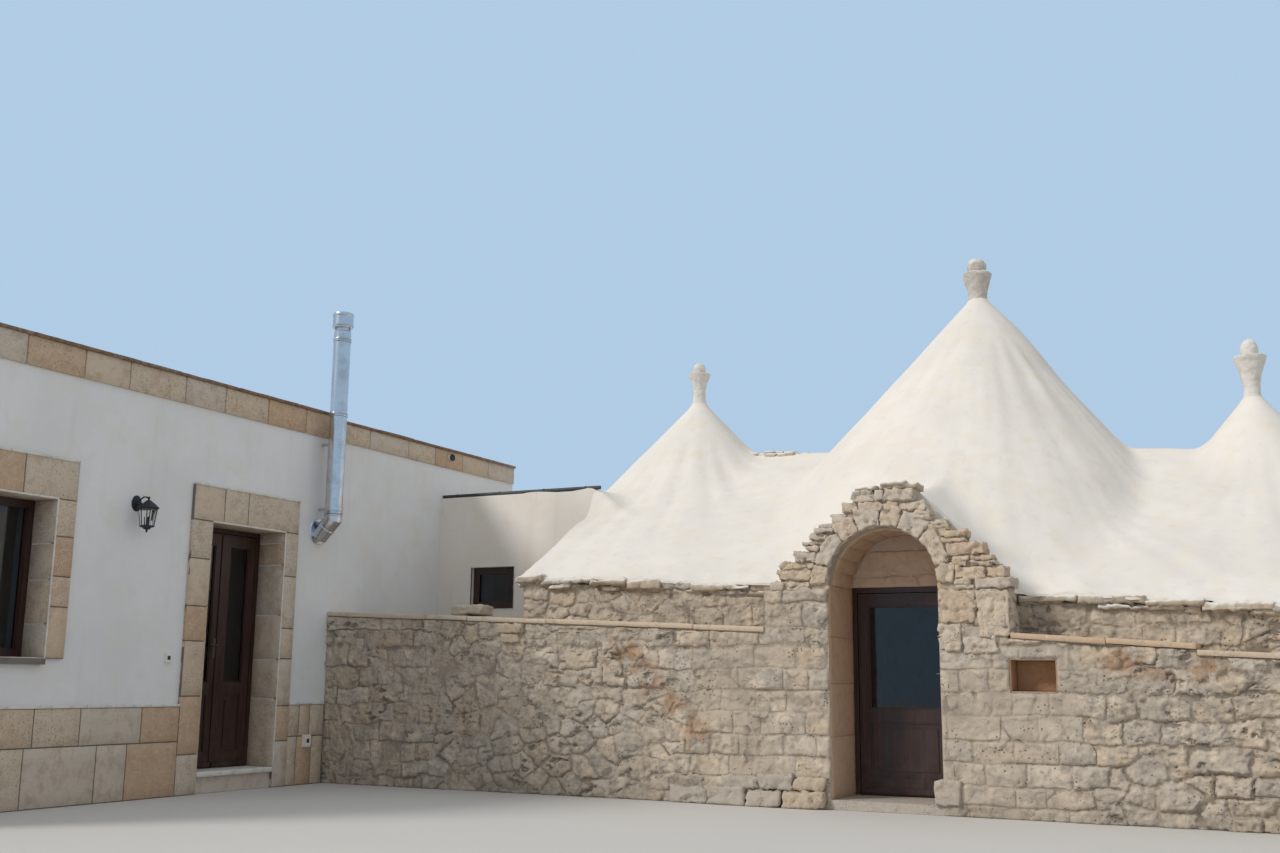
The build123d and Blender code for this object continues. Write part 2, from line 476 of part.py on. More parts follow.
def hinge_notch(height):
    """Room for the knuckles in the edge of a leaf."""
    base = (Align.CENTER, Align.CENTER, Align.MIN)
    return [Pos(0, 0, height * share - HINGE_PLAY * 4) * Cylinder(
        HINGE_R + HINGE_PLAY, HINGE_H * 2 + HINGE_PLAY * 9, align=base) for share in HINGE_AT]


# Door of the trullo, hinged on its left, opening inward
leaf_w = DOORWAY_W - 2 * (FRAME_W + LEAF_GAP)
leaf_h = DOORWAY_Z - FLOOR_Z - FRAME_W - 2 * LEAF_GAP
trullo_place = Pos(PORTAL_X, door_y, FLOOR_Z)
trullo_frame = trullo_place * frame_of(DOORWAY_W, DOORWAY_Z - FLOOR_Z)
leaf, pane = leaf_of(leaf_w, leaf_h, TRULLO_GLASS)
at_leaf = trullo_place * Pos(-leaf_w / 2, 0, LEAF_GAP)
hinge_line = at_leaf * Pos(0, LEAF_T, 0)
leaf = at_leaf * leaf
for notch in hinge_notch(leaf_h):
    leaf -= hinge_line * notch
save("trullo_door", leaf)
save("trullo_door_glass", at_leaf * pane)
save("trullo_door_fittings", *[at_leaf * Pos(leaf_w - STILE / 2, 0, TRULLO_HANDLE) * h for h in handle(-1)],
     *[hinge_line * k for k in knuckles(leaf_h, 1, True)])
frame_hinges = [hinge_line * k for k in knuckles(leaf_h, 1, False)]

# Double door of the wing: both leaves open inward
wing_w, wing_h = DOOR[1] - DOOR[0], DOOR[2] - WING_FLOOR
wing_place = Pos(WING_X - DOOR_SET, (DOOR[0] + DOOR[1]) / 2, WING_FLOOR) * Rot(0, 0, 90)
save("door_frames", trullo_frame, wing_place * frame_of(wing_w, wing_h))
half_w = (wing_w - 2 * (FRAME_W + LEAF_GAP) - MEETING_GAP) / 2
half_h = wing_h - FRAME_W - 2 * LEAF_GAP
for name, side in (("left", 1), ("right", -1)):
    at_leaf = wing_place * Pos(-side * (half_w + MEETING_GAP) / 2, 0, LEAF_GAP) * Pos(-half_w / 2, 0, 0)
    hinge_line = wing_place * Pos(-side * (half_w + MEETING_GAP / 2), LEAF_T, LEAF_GAP)
    leaf, pane = leaf_of(half_w, half_h, WING_GLASS)
    leaf = at_leaf * leaf
    for notch in hinge_notch(half_h):
        leaf -= hinge_line * notch
    save(f"wing_door_{name}", leaf)
    save(f"wing_door_glass_{name}", at_leaf * pane)
    metal = [hinge_line * k for k in knuckles(half_h, side, True)]
    if name == "left":
        metal += [at_leaf * Pos(half_w - STILE / 2, 0, WING_HANDLE) * h for h in handle(-1)]
    save(f"wing_door_fittings_{name}", *metal)
    frame_hinges += [hinge_line * k for k in knuckles(half_h, side, False)]
save("door_hinges", *frame_hinges)

# Fixed window and hatch
sash_w, sash_h = WINDOW[1] - WINDOW[0], DOOR[2] - WINDOW[2]
window_place = Pos(WING_X - WINDOW_SET, (WINDOW[0] + WINDOW[1]) / 2, WINDOW[2]) * Rot(0, 0, 90)
hatch_w, hatch_h = HATCH[1] - HATCH[0], HATCH[3] - HATCH[2]
hatch_place = Pos((HATCH[0] + HATCH[1]) / 2, BLOCK_Y + HATCH_SET, HATCH[2])


def sash(width, height, lights):
    """Window frame with its sash bars between the lights, and the panes."""
    solid = Pos(0, SASH_T / 2, height / 2) * Box(width, SASH_T, height)
    pane_w = (width - (lights + 1) * SASH_W) / lights
    panes = []
    for i in range(lights):
        x = -width / 2 + SASH_W + pane_w / 2 + i * (pane_w + SASH_W)
        hole = Pos(x, SASH_T / 2, height / 2)
        solid -= hole * Box(pane_w, SASH_T, height - 2 * SASH_W)
        panes.append(hole * Box(pane_w, GLASS_T, height - 2 * SASH_W))
    return solid, panes


window_frame, window_panes = sash(sash_w, sash_h, 2)
hatch_frame, hatch_panes = sash(hatch_w, hatch_h, 1)
save("window_frames", window_place * window_frame, hatch_place * hatch_frame)
save("window_glass", *[window_place * p for p in window_panes], *[hatch_place * p for p in hatch_panes])

# Flue: a straight pipe, an elbow into the wall, joint bands and a rain cap
flue_x = WING_X + FLUE_OUT
pipe_r = FLUE_D / 2
neck_z = FLUE_TOP - CAP_H - CAP_GAP
upright = Pos(flue_x, FLUE_Y, (FLUE_KNEE + neck_z) / 2) * Cylinder(pipe_r, neck_z - FLUE_KNEE)
elbow_len = (FLUE_OUT + pipe_r) * math.sqrt(2)
elbow = (Pos(flue_x, FLUE_Y, FLUE_KNEE) * Rot(0, 45, 0) * Cylinder(
    pipe_r, elbow_len, align=(Align.CENTER, Align.CENTER, Align.MAX)) + Pos(flue_x, FLUE_Y, FLUE_KNEE)
    * Sphere(pipe_r)) & box(WING_X, FAR, -FAR, FAR, 0, FAR)
flue = upright + elbow
for z in FLUE_BANDS:
    flue += Pos(flue_x, FLUE_Y, z) * Cylinder(pipe_r + BAND_RIM, BAND_RIM * 3)
flue += Pos(flue_x, FLUE_Y, FLUE_TOP - CAP_H - CAP_GAP / 2) * Cylinder(CAP_NECK / 2, CAP_GAP)
flue += Pos(flue_x, FLUE_Y, FLUE_TOP - CAP_H / 2) * Cylinder(CAP_D / 2, CAP_H)
save("flue", flue)
brackets = []
for z in BRACKET_Z:
    clamp = Cylinder(pipe_r + BRACKET_T, BRACKET_H) - Cylinder(pipe_r, BRACKET_H)
    arm = box(WING_X - flue_x, -pipe_r - BRACKET_T / 2, -BRACKET_H / 2, BRACKET_H / 2,
              -BRACKET_H / 2, BRACKET_H / 2)
    brackets.append(Pos(flue_x, FLUE_Y, z) * (clamp + arm))
save("flue_brackets", *brackets)

# Wall lantern on its curved arm
lx = WING_X + LANTERN_OUT
plate = Pos(WING_X, LANTERN_Y, LANTERN_Z) * Rot(0, 90, 0) * Cylinder(
    LANTERN_PLATE, ARM_R * 2, align=(Align.CENTER, Align.CENTER, Align.MIN))
roof_z = LANTERN_Z - LANTERN_DROP
floor_z = roof_z - LANTERN_H


def hex_loft(r0, z0, r1, z1):
    """Six-sided taper between two levels on the lantern's axis."""
    return loft([Plane((lx, LANTERN_Y, z)) * RegularPolygon(r, 6) for r, z in ((r0, z0), (r1, z1))])


glass = hex_loft(LANTERN_R * LANTERN_TAPER[0], floor_z, LANTERN_R * LANTERN_TAPER[1], roof_z)
hood = hex_loft(LANTERN_R, roof_z, LANTERN_R * HOOD_TIP, roof_z + HOOD_H)
foot = hex_loft(LANTERN_R * FOOT_TAPER[0], floor_z - FOOT_H, LANTERN_R * FOOT_TAPER[1], floor_z)
drop = Pos(lx, LANTERN_Y, floor_z - FOOT_H - ARM_R / 2) * Sphere(DROP_R)
arm_start = (WING_X + ARM_SEAT, LANTERN_Y, LANTERN_Z)
arm_path = ThreePointArc(arm_start, (WING_X + LANTERN_OUT * 0.6, LANTERN_Y, LANTERN_Z + HOOD_H * 0.9),
                         (lx, LANTERN_Y, roof_z + HOOD_H * 0.8))
arm = sweep(Plane(arm_path @ 0, z_dir=arm_path % 0) * Circle(ARM_R), path=arm_path)
save("wall_lantern", plate + arm + hood, foot + drop)
save("lantern_glass", glass)

# Switch, socket and spotlight on the wing
on_wall = (Align.MIN, Align.CENTER, Align.CENTER)
switch = Pos(WING_X, *SWITCH_YZ) * Box(SWITCH_T, SWITCH_W, SWITCH_W, align=on_wall)
socket = Pos(WING_X + PLINTH_T, *SOCKET_YZ) * Box(SOCKET_T, SOCKET_W, SOCKET_H, align=on_wall)
spot = Pos(WING_X + COPING_OUT, SPOT_Y, SPOT_Z) * Rot(0, 90, 0) * Cylinder(
    SPOT_R, SPOT_L, align=(Align.CENTER, Align.CENTER, Align.MIN))
save("wall_fittings", switch, socket, spot)
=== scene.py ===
import random
from math import acos, asin, atan2, cos, dist, exp, hypot, pi, radians, sin, sqrt, tau

import bmesh
import bpy
import numpy as np
from mathutils import Matrix, Vector, geometry, noise


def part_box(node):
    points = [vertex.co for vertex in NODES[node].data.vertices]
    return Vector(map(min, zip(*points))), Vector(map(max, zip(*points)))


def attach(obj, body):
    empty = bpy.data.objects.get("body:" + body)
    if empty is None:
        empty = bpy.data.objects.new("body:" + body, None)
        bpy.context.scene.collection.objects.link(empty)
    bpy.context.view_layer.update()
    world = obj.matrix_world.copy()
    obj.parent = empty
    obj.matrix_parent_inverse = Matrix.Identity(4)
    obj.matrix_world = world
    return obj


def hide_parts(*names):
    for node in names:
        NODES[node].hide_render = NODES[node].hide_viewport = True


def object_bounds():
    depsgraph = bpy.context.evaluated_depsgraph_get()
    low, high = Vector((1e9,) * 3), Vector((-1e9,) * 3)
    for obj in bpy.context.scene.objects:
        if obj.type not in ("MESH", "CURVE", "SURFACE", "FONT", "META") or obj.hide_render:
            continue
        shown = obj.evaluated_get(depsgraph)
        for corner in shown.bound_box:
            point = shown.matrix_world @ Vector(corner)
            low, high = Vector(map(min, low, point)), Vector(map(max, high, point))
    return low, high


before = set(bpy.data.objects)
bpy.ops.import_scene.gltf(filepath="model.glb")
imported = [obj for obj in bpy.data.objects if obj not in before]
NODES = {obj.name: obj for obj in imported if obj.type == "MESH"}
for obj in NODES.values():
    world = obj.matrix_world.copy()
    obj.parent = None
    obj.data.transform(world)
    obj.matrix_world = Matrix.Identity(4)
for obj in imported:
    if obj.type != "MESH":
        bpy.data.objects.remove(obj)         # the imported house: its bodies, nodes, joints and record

bl_info = {
    "name": "Trullo house",
    "version": (1, 0, 0),
    "blender": (4, 5, 0),
    "location": "View3D > Sidebar > Trullo",
    "description": "Dresses the packed trullo with plaster, rubble, dressed stone and joinery",
    "category": "Object",
}

CAD_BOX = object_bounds()
HOUSE = "house"

# Places shared with the frame, in metres
FRONT_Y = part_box("left_low_wall")[1].y         # drum wall
FORE_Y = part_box("left_low_wall")[0].y          # low walls and portal
WING_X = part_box("facade_wall_middle")[1].x     # wing's facade
BLOCK_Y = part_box("block_walls")[0].y
DRUM_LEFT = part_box("left_front_wall")[0].x
FRONT_RIGHT = 3.6275
BLOCK_BACK, BLOCK_ROOM = -0.08, -4.95
FLOOR_Z, EAVE_Z, EAVE_FALL = 0.08, 1.86, 0.055
AXES = {"main": (0.0, 3.25, 5.335), "left": (-3.46, 2.3, 4.41), "right": (2.75, 1.95, 3.95)}
ROOMS = {"main": 1.65, "left": 1.2, "right": 0.75}
NECK_R, FLARE_H, FLARE_OUT = 0.095, 0.1, 0.17
RIDGE_Z, SADDLE_BACK = 3.6, 2.3
SPRING_Z, VAULT_COVER, VAULT_APEX, BULGE_R, BULGE_Z = 1.56, 0.62, 0.13, 0.62, 0.52
PIER_LEFT, PIER_RIGHT = -1.19, 0.93
DOOR_X, DOOR_HALF, DOOR_Y = -0.115, 0.485, -2.93
ARCH_Z, TYMPANUM_BACK, DOOR_HEAD = 1.895, -2.67, 1.91
LOW_LEFT, LOW_RIGHT, LOW_STEP, LOW_END = (1.7, 1.495), (1.43, 1.33, 1.285, 1.18), 2.36, 4.7
NICHE = (0.935, 1.31, 0.99, 1.26)
COPING_T = 0.045
WING_DOOR, WING_WINDOW = (-5.37, -4.36, 2.5), (-8.2, -7.135, 1.19)
BAND_X, BAND_TOP = WING_X + 0.03, 2.83
WING_NEAR, WING_FAR, WING_BACK, WING_TOP = -9.3, -0.08, -10.6, 3.563
FLUE_X, FLUE_Y, FLUE_R, FLUE_TOP = WING_X + 0.19, -3.835, 0.09, 4.9
LANTERN_X, LANTERN_Y, LANTERN_Z = WING_X + 0.15, -6.28, 2.565
WING_WALL, DEEP_DOOR, DEEP_WINDOW = 0.45, 0.3, 0.24        # wall, and how far its openings are set back
HATCH = (-5.64, -5.05, 1.86, 2.34)
EYE, LENS = (3.3, -14.88, 1.05), 1350.0 / 1280.0 * 36.0    # the photograph's viewpoint
TURN, PITCH, ROLL = (radians(a) for a in (27.0, 10.7, 0.55))


# ---------------------------------------------------------------- settings

def length(name, text, value):
    """Setting in metres."""
    return bpy.props.FloatProperty(name=name, description=text, default=value, min=0.0, unit="LENGTH")


def colour(name, text, value):
    """Colour setting, scene linear."""
    return bpy.props.FloatVectorProperty(name=name, description=text, default=value, size=3, min=0.0,
            max=1.0, subtype="COLOR")


class TrulloSizes(bpy.types.PropertyGroup):
    """Sizes of the plaster and the stones."""
    plaster_cell: length("Plaster cell", "Spacing of the roof's points", 0.05)
    valley: length("Valley fillet", "How far plaster rounds the valleys", 0.13)
    eave_lip: length("Eave lip", "Thickness of the limewash over the eave", 0.03)
    wave: length("Plaster wave", "Height of the plaster's unevenness", 0.013)
    stone_length: length("Stone length", "Mean length of the rubble stones", 0.33)
    stone_height: length("Stone height", "Mean height of the rubble stones", 0.185)
    joint: length("Rubble joint", "Width of the mortar between rubble stones", 0.016)
    relief: length("Stone relief", "How far the rubble stands out of its mortar", 0.034)
    front_cell: length("Front cell", "Spacing of the points on walls seen close", 0.014)
    back_cell: length("Back cell", "Spacing of the points on the other walls", 0.032)
    block_joint: length("Block joint", "Joint between dressed blocks", 0.011)
    proud: length("Block proud", "How far dressed blocks stand out of the wall", 0.007)
    stone_cell: length("Stone cell", "Spacing of the points on rough stones", 0.02)


class TrulloColours(bpy.types.PropertyGroup):
    """Colours of the finishes."""
    limewash: colour("Limewash", "Roof cones", (0.8, 0.755, 0.7))
    # the slight blue in this white plaster is painted shade
    wing_plaster: colour("Wing plaster", "Walls of the wing and the block", (0.755, 0.765, 0.78))
    stone: colour("Rubble", "Grey limestone of the walls", (0.46, 0.405, 0.34))
    stone_warm: colour("Warm rubble", "Warmer stones between the grey ones", (0.54, 0.44, 0.33))
    mortar: colour("Mortar", "Sandy mortar between the stones", (0.5, 0.425, 0.34))
    sandstone: colour("Sandy blocks", "Dressed blocks round door and window", (0.6, 0.51, 0.4))
    sandstone_warm: colour("Orange blocks", "The warmer dressed blocks", (0.54, 0.385, 0.265))
    slab: colour("Slabs", "Thin limestone slabs", (0.62, 0.53, 0.43))
    wood: colour("Wood", "Dark stained doors and frames", (0.034, 0.014, 0.01))
    steel: colour("Steel", "Flue", (0.66, 0.67, 0.69))
    iron: colour("Black iron", "Lantern and handles", (0.022, 0.022, 0.024))
    plastic: colour("White plastic", "Switch and socket", (0.78, 0.77, 0.74))


class TrulloStage(bpy.types.PropertyGroup):
    """Light and backdrop."""
    key: bpy.props.FloatProperty(name="Key light", description="Strength of the soft key", default=1.9)
    spread: bpy.props.FloatProperty(name="Key spread", description="Angle of the key light",
            default=radians(14), subtype="ANGLE")
    fill: bpy.props.FloatProperty(name="Fill", description="Strength of the light all round", default=0.62)
    sky: colour("Backdrop", "Pale backdrop seen by the camera", (0.44, 0.6, 0.78))
    floor: colour("Floor", "Pale floor", (0.62, 0.6, 0.57))


# ---------------------------------------------------------------- node trees

HALF = (0.5, 0.5, 0.5)


def sign(operation, swapped=False):
    """Python sign that makes the node for it; a vector times a number is scaled."""
    def act(self, other):
        a, b = (other, self) if swapped else (self, other)
        if self.socket.type == "VALUE":
            return self.home.math(operation, a, b)
        number = isinstance(other, float) or isinstance(other, Field) and other.socket.type == "VALUE"
        if operation == "MULTIPLY" and number:
            return self.home.vector("SCALE", self, scale=other)
        return self.home.vector(operation, a, b)
    return act


class Field:
    """Output of a node, ready for sums. In a product with a vector the vector stands first."""
    __add__, __radd__ = sign("ADD"), sign("ADD", True)
    __sub__, __rsub__ = sign("SUBTRACT"), sign("SUBTRACT", True)
    __mul__, __rmul__ = sign("MULTIPLY"), sign("MULTIPLY", True)
    __truediv__, __rtruediv__ = sign("DIVIDE"), sign("DIVIDE", True)

    def __init__(self, home, socket):
        self.home, self.socket = home, socket

    def __abs__(self):
        return self.home.math("ABSOLUTE", self)


def spaced(values):
    """Keyword names as the sockets spell them."""
    return {key.replace("_", " "): value for key, value in values.items()}


class Tree:
    """Writes a node tree line by line; an input is a value or a field."""

    def __init__(self, tree):
        self.tree = tree
        self.entry = self.exit = None

    @classmethod
    def group(cls, name, kind):
        made = cls(bpy.data.node_groups.new(name, kind))
        made.entry = made.tree.nodes.new("NodeGroupInput")
        made.exit = made.tree.nodes.new("NodeGroupOutput")
        return made

    def take(self, name, kind, default=None):
        """New input of the group."""
        item = self.tree.interface.new_socket(name, in_out="INPUT", socket_type="NodeSocket" + kind)
        if default is not None:
            item.default_value = default
        return Field(self, self.entry.outputs[name])

    def numbers(self, **defaults):
        """New number inputs of the group."""
        return [self.take(name, "Float", value) for name, value in spaced(defaults).items()]

    def give(self, name, kind, source):
        """New output of the group."""
        self.tree.interface.new_socket(name, in_out="OUTPUT", socket_type="NodeSocket" + kind)
        self.fill(self.exit, {name: source})

    def fill(self, node, inputs):
        """Sets inputs of a node or links them to their fields."""
        for key, value in inputs.items():
            if isinstance(value, Field):
                self.tree.links.new(value.socket, node.inputs[key])
            else:
                node.inputs[key].default_value = value

    def add(self, kind, inputs=None, out=0, **settings):
        """New node; returns one of its outputs."""
        node = self.tree.nodes.new(kind)
        for key, value in settings.items():
            setattr(node, key, value)
        self.fill(node, inputs or {})
        return Field(self, node.outputs[out])

    def effect(self, name, outs=("Mask",), **values):
        """One of the shared shader groups, placed in a material."""
        node = self.tree.nodes.new("ShaderNodeGroup")
        node.node_tree = GROUPS[name]
        self.fill(node, spaced(values))
        made = [Field(self, node.outputs[out]) for out in outs]
        return made if len(made) > 1 else made[0]

    def blotches(self, size, low, high, shift=0.0):
        return self.effect("Blotches", Size=size, Low=low, High=high, Shift=shift)

    def math(self, operation, a, b=0.0, clamp=False):
        return self.add("ShaderNodeMath", {0: a, 1: b}, operation=operation, use_clamp=clamp)

    def vector(self, operation, a, b=(0, 0, 0), scale=None):
        inputs = {0: a, 1: b} if scale is None else {0: a, "Scale": scale}
        return self.add("ShaderNodeVectorMath", inputs, 1 if operation in ("DOT_PRODUCT", "LENGTH") else 0,
                operation=operation)

    def join(self, x=0.0, y=0.0, z=0.0):
        return self.add("ShaderNodeCombineXYZ", {0: x, 1: y, 2: z})

    def split(self, vector):
        node = self.tree.nodes.new("ShaderNodeSeparateXYZ")
        self.fill(node, {0: vector})
        return [Field(self, out) for out in node.outputs]

    def place(self):
        """Place in the piece's own space, which is the house's."""
        return self.add("ShaderNodeTexCoord", out="Object")

    def ramp(self, value, low, high, to_low=0.0, to_high=1.0):
        """Smooth step of value from low to high."""
        return self.add("ShaderNodeMapRange", {"Value": value, "From Min": low, "From Max": high,
                                       "To Min": to_low, "To Max": to_high},
                interpolation_type="SMOOTHSTEP")

    def mix(self, share, a, b):
        """Mix of two colours."""
        a, b = (value if isinstance(value, Field) else (*value[:3], 1.0) for value in (a, b))
        return self.add("ShaderNodeMix", {0: share, 6: a, 7: b}, 2, data_type="RGBA")

    def blend(self, share, a, b):
        """Mix of two vectors."""
        return self.add("ShaderNodeMix", {0: share, 4: a, 5: b}, 1, data_type="VECTOR")

    def noise(self, place, scale, detail=2.0, rough=0.5, out=0):
        return self.add("ShaderNodeTexNoise", {"Vector": place, "Scale": scale, "Detail": detail,
                "Roughness": rough}, out)

    def cells(self, place, feature, out, dimensions="2D", randomness=0.85, scale=1.0):
        return self.add("ShaderNodeTexVoronoi", {"Vector": place, "Scale": scale, "Randomness": randomness},
                out, feature=feature, voronoi_dimensions=dimensions)

    def facets(self, place, scale):
        """Chipped faces, each leaning its own way."""
        away = place - self.cells(place, "F1", "Position", "3D", 1.0, scale)
        return self.vector("DOT_PRODUCT", away, self.cells(place, "F1", "Color", "3D", 1.0, scale) - HALF)


def run_nodes(obj, tree, **inputs):
    """Runs a Geometry Nodes tree on obj and keeps its result as a plain mesh."""
    modifier = obj.modifiers.new(tree.name, "NODES")
    modifier.node_group = tree
    ids = {item.name: item.identifier for item in tree.interface.items_tree
           if item.item_type == "SOCKET" and item.in_out == "INPUT"}
    for name, value in spaced(inputs).items():
        modifier[ids[name]] = value
    graph = bpy.context.evaluated_depsgraph_get()
    mesh = bpy.data.meshes.new_from_object(obj.evaluated_get(graph), preserve_all_data_layers=True,
            depsgraph=graph)
    obj.modifiers.remove(modifier)
    old, obj.data = obj.data, mesh
    bpy.data.meshes.remove(old)
    return obj


def close_tree(tree, shape, material):
    """Last nodes of every tree: realized, smooth, with its material."""
    shape = tree.add("GeometryNodeRealizeInstances", {"Geometry": shape})
    shape = tree.add("GeometryNodeSetShadeSmooth", {"Geometry": shape})
    shape = tree.add("GeometryNodeSetMaterial", {"Geometry": shape, "Material": material})
    tree.give("Geometry", "Geometry", shape)
    return tree.tree


def named(tree, name, kind="FLOAT"):
    """Field of a named attribute."""
    return tree.add("GeometryNodeInputNamedAttribute", {"Name": name}, "Attribute", data_type=kind)


def rubble_pattern(t, lay, long, high, joint):
    """Face of a rubble wall over the flat place lay: rough courses with stretches of random polygons.
    Works in node trees of both kinds. Returns height above the mortar, share of stone, and tone."""
    bend = t.noise(lay, 2.6, 3.0, 0.5, 1) - HALF
    chip = t.noise(lay, 12.0, 2.0, 0.6, 1) - HALF
    place, level, seed = t.split(lay)
    # round the portal the stones lie calmer, on the right low wall wilder
    portal = t.ramp(abs(place + 0.13), 1.35, 1.75, 1.0, 0.0)
    calm = portal * t.ramp(level, 1.3, 1.45, 1.0, 0.0)
    wild = t.ramp(place, 1.5, 2.3) * t.math("LESS_THAN", seed, 1.0)
    loose = 1.0 - calm * 0.6 + wild * 0.35
    bent = lay + bend * (loose * 0.15) + chip * (loose * 0.045)
    along, up, _ = t.split(bent)
    # courses
    course = up / high
    course = course + t.noise(t.join(0.0, course, seed), 0.55, 1.0) * 1.3
    row, rise = t.math("FLOOR", course), t.math("FRACT", course)
    run = along / long + row * 0.413
    run = run + t.noise(t.join(run, row * 3.7, seed), 0.8, 1.0) * 1.9
    column, part = t.math("FLOOR", run), t.math("FRACT", run)
    gap_x = t.math("MINIMUM", part, 1.0 - part) * long
    gap_y = t.math("MINIMUM", rise, 1.0 - rise) * high
    gap_a = t.add("ShaderNodeMath", {0: gap_x, 1: gap_y, 2: 0.03}, operation="SMOOTH_MIN")
    tone_a = t.add("ShaderNodeTexWhiteNoise", {"Vector": t.join(column, row, seed)}, "Color",
            noise_dimensions="3D")
    # polygons
    spot = bent / t.join(t.math("MULTIPLY", long, 0.8), high, 1.0)
    gap_b = t.cells(spot, "DISTANCE_TO_EDGE", "Distance") * high
    tone_b = t.cells(spot, "F1", "Color")
    local_b = spot - t.cells(spot, "F1", "Position") + (0.5, 0.5, 0.0)
    # one or the other
    middle = t.ramp(abs(place + 3.5), 0.5, 1.9, 0.12, -0.06) - portal * 0.3 + wild * 0.1
    pick = t.ramp(t.noise(lay, 0.8, 2.0) + middle, 0.53, 0.545)
    gap = t.add("ShaderNodeMix", {0: pick, 2: gap_a, 3: gap_b}, data_type="FLOAT")
    tone = t.split(t.blend(pick, tone_a, tone_b))
    local = t.blend(pick, t.join(part, rise), local_b)
    lean = t.join(tone[0], tone[1]) - (0.5, 0.5, 0.0)
    tilt = t.vector("DOT_PRODUCT", local - (0.5, 0.5, 0.0), lean)
    face = tone[2] * 0.62 + (tilt * 1.3 + 0.3)
    mask = t.ramp(gap, t.math("MULTIPLY", joint, 0.2), joint * (0.9 + wild * 0.7))
    dome = t.ramp(gap, 0.0, t.math("MULTIPLY", high, 0.3), 0.0, 0.16)
    deep = t.ramp(t.noise(lay + (21.0, 4.0, 0.0), 1.3, 3.0), 0.38, 0.62, 0.3, 1.0)
    deep = t.math("MAXIMUM", deep * (1.0 - calm * 0.45), wild * 1.15)
    # chips, grain and hollows
    height = mask * (face + dome) * deep + t.facets(bent, 8.5) * 7.5
    height = height + t.facets(bent, 19.0) * (loose * 7.0)
    coarse = (t.noise(lay, 17.0, 4.0, 0.66) - 0.5) * (loose * 0.85)
    eaten = t.ramp(t.noise(bent * (1.0, 2.1, 1.0), 5.0, 4.0, 0.66), 0.56, 0.63)
    worn = t.ramp(t.noise(lay + (3.0, 17.0, 0.0), 1.2, 2.0), 0.42, 0.56)
    eaten = eaten * worn * t.ramp(loose, 0.4, 0.9, 0.35, 1.0)
    height = (height + coarse) * (1.0 - eaten) - eaten * 0.3
    return height, t.math("MULTIPLY", mask, deep, clamp=True), tone[0]


def rubble_tree():
    """Rubble masonry as relief: the pattern's height along each point's outward direction."""
    t = Tree.group("Rubble relief", "GeometryNodeTree")
    shape = t.take("Geometry", "Geometry")
    long, high, joint, relief = t.numbers(Stone_Length=0.33, Stone_Height=0.185, Joint=0.016, Relief=0.034)
    material = t.take("Material", "Material")
    height = rubble_pattern(t, named(t, "lay", "FLOAT_VECTOR"), long, high, joint)[0]
    edge = named(t, "edge")
    lift = t.math("MAXIMUM", height * relief + 0.004, 0.0015) * edge - (1.0 - edge) * 0.004
    offset = named(t, "out", "FLOAT_VECTOR") * (lift * named(t, "front"))
    return close_tree(t, t.add("GeometryNodeSetPosition", {"Geometry": shape, "Offset": offset}), material)


def weathered_tree():
    """Separate stones: corners worn round, faces roughened, each stone by noise of its own."""
    t = Tree.group("Weathered stones", "GeometryNodeTree")
    shape, rounding = t.take("Geometry", "Geometry"), t.take("Rounding", "Int", 1)
    wear, size, fine, chips = t.numbers(Wear=0.01, Wear_Size=6.0, Fine=0.003, Chips=0.0)
    material = t.take("Material", "Material")
    soft = t.add("GeometryNodeBlurAttribute", {"Value": t.add("GeometryNodeInputPosition"),
            "Iterations": rounding}, data_type="FLOAT_VECTOR")
    shape = t.add("GeometryNodeSetPosition", {"Geometry": shape, "Position": soft})
    tint = named(t, "tint")
    place = t.add("GeometryNodeInputPosition") + t.join(tint, tint) * 37.0
    coarse = (t.noise(place, size) - 0.5) * (wear * 2.0)
    grain = (t.noise(place, 24.0, 3.0, 0.6) - 0.5) * (fine * 2.0)
    lift = coarse + grain + t.facets(place, 13.0) * (chips * 42.0)
    shape = t.add("GeometryNodeSetPosition", {"Geometry": shape,
            "Offset": t.add("GeometryNodeInputNormal") * lift})
    return close_tree(t, shape, material)


# ---------------------------------------------------------------- shader groups and finishes

def blotch_group():
    """Soft irregular patches."""
    t = Tree.group("Blotches", "ShaderNodeTree")
    size, low, high, shift = t.numbers(Size=1.0, Low=0.4, High=0.6, Shift=0.0)
    spots = t.noise(t.place() + t.join(shift), 1.0 / size, 4.0, 0.6)
    t.give("Mask", "Float", t.ramp(spots, low, high))
    return t.tree


def streak_group():
    """Marks that rain leaves down a surface."""
    t = Tree.group("Rain streaks", "ShaderNodeTree")
    width, run, low, high = t.numbers(Width=0.05, Run=0.8, Low=0.5, High=0.75)
    across = 1.0 / width
    marks = t.noise(t.place() * t.join(across, across, 1.0 / run), 1.0, 3.0, 0.55)
    t.give("Mask", "Float", t.ramp(marks, low, high))
    return t.tree


def grit_group():
    """Fine relief: grain, coarser lumps and pits."""
    t = Tree.group("Grit", "ShaderNodeTree")
    grain, lumps, pits, depth = t.numbers(Grain=120.0, Lumps=18.0, Pits=45.0, Pit_Depth=0.5)
    place = t.place()
    height = t.noise(place, grain, 2.0, 0.6) * 0.3 + t.noise(place, lumps, 5.0, 0.6)
    hole = t.ramp(t.cells(place, "F1", "Distance", "3D", 1.0, pits), 0.08, 0.3, 1.0, 0.0)
    hole = hole * t.ramp(t.noise(place, 7.0), 0.5, 0.62)
    t.give("Height", "Float", height - hole * depth)
    t.give("Pits", "Float", hole)
    return t.tree


GROUPS, TREES, FINISHES = {}, {}, {}
GRIT = ("Height", "Pits")


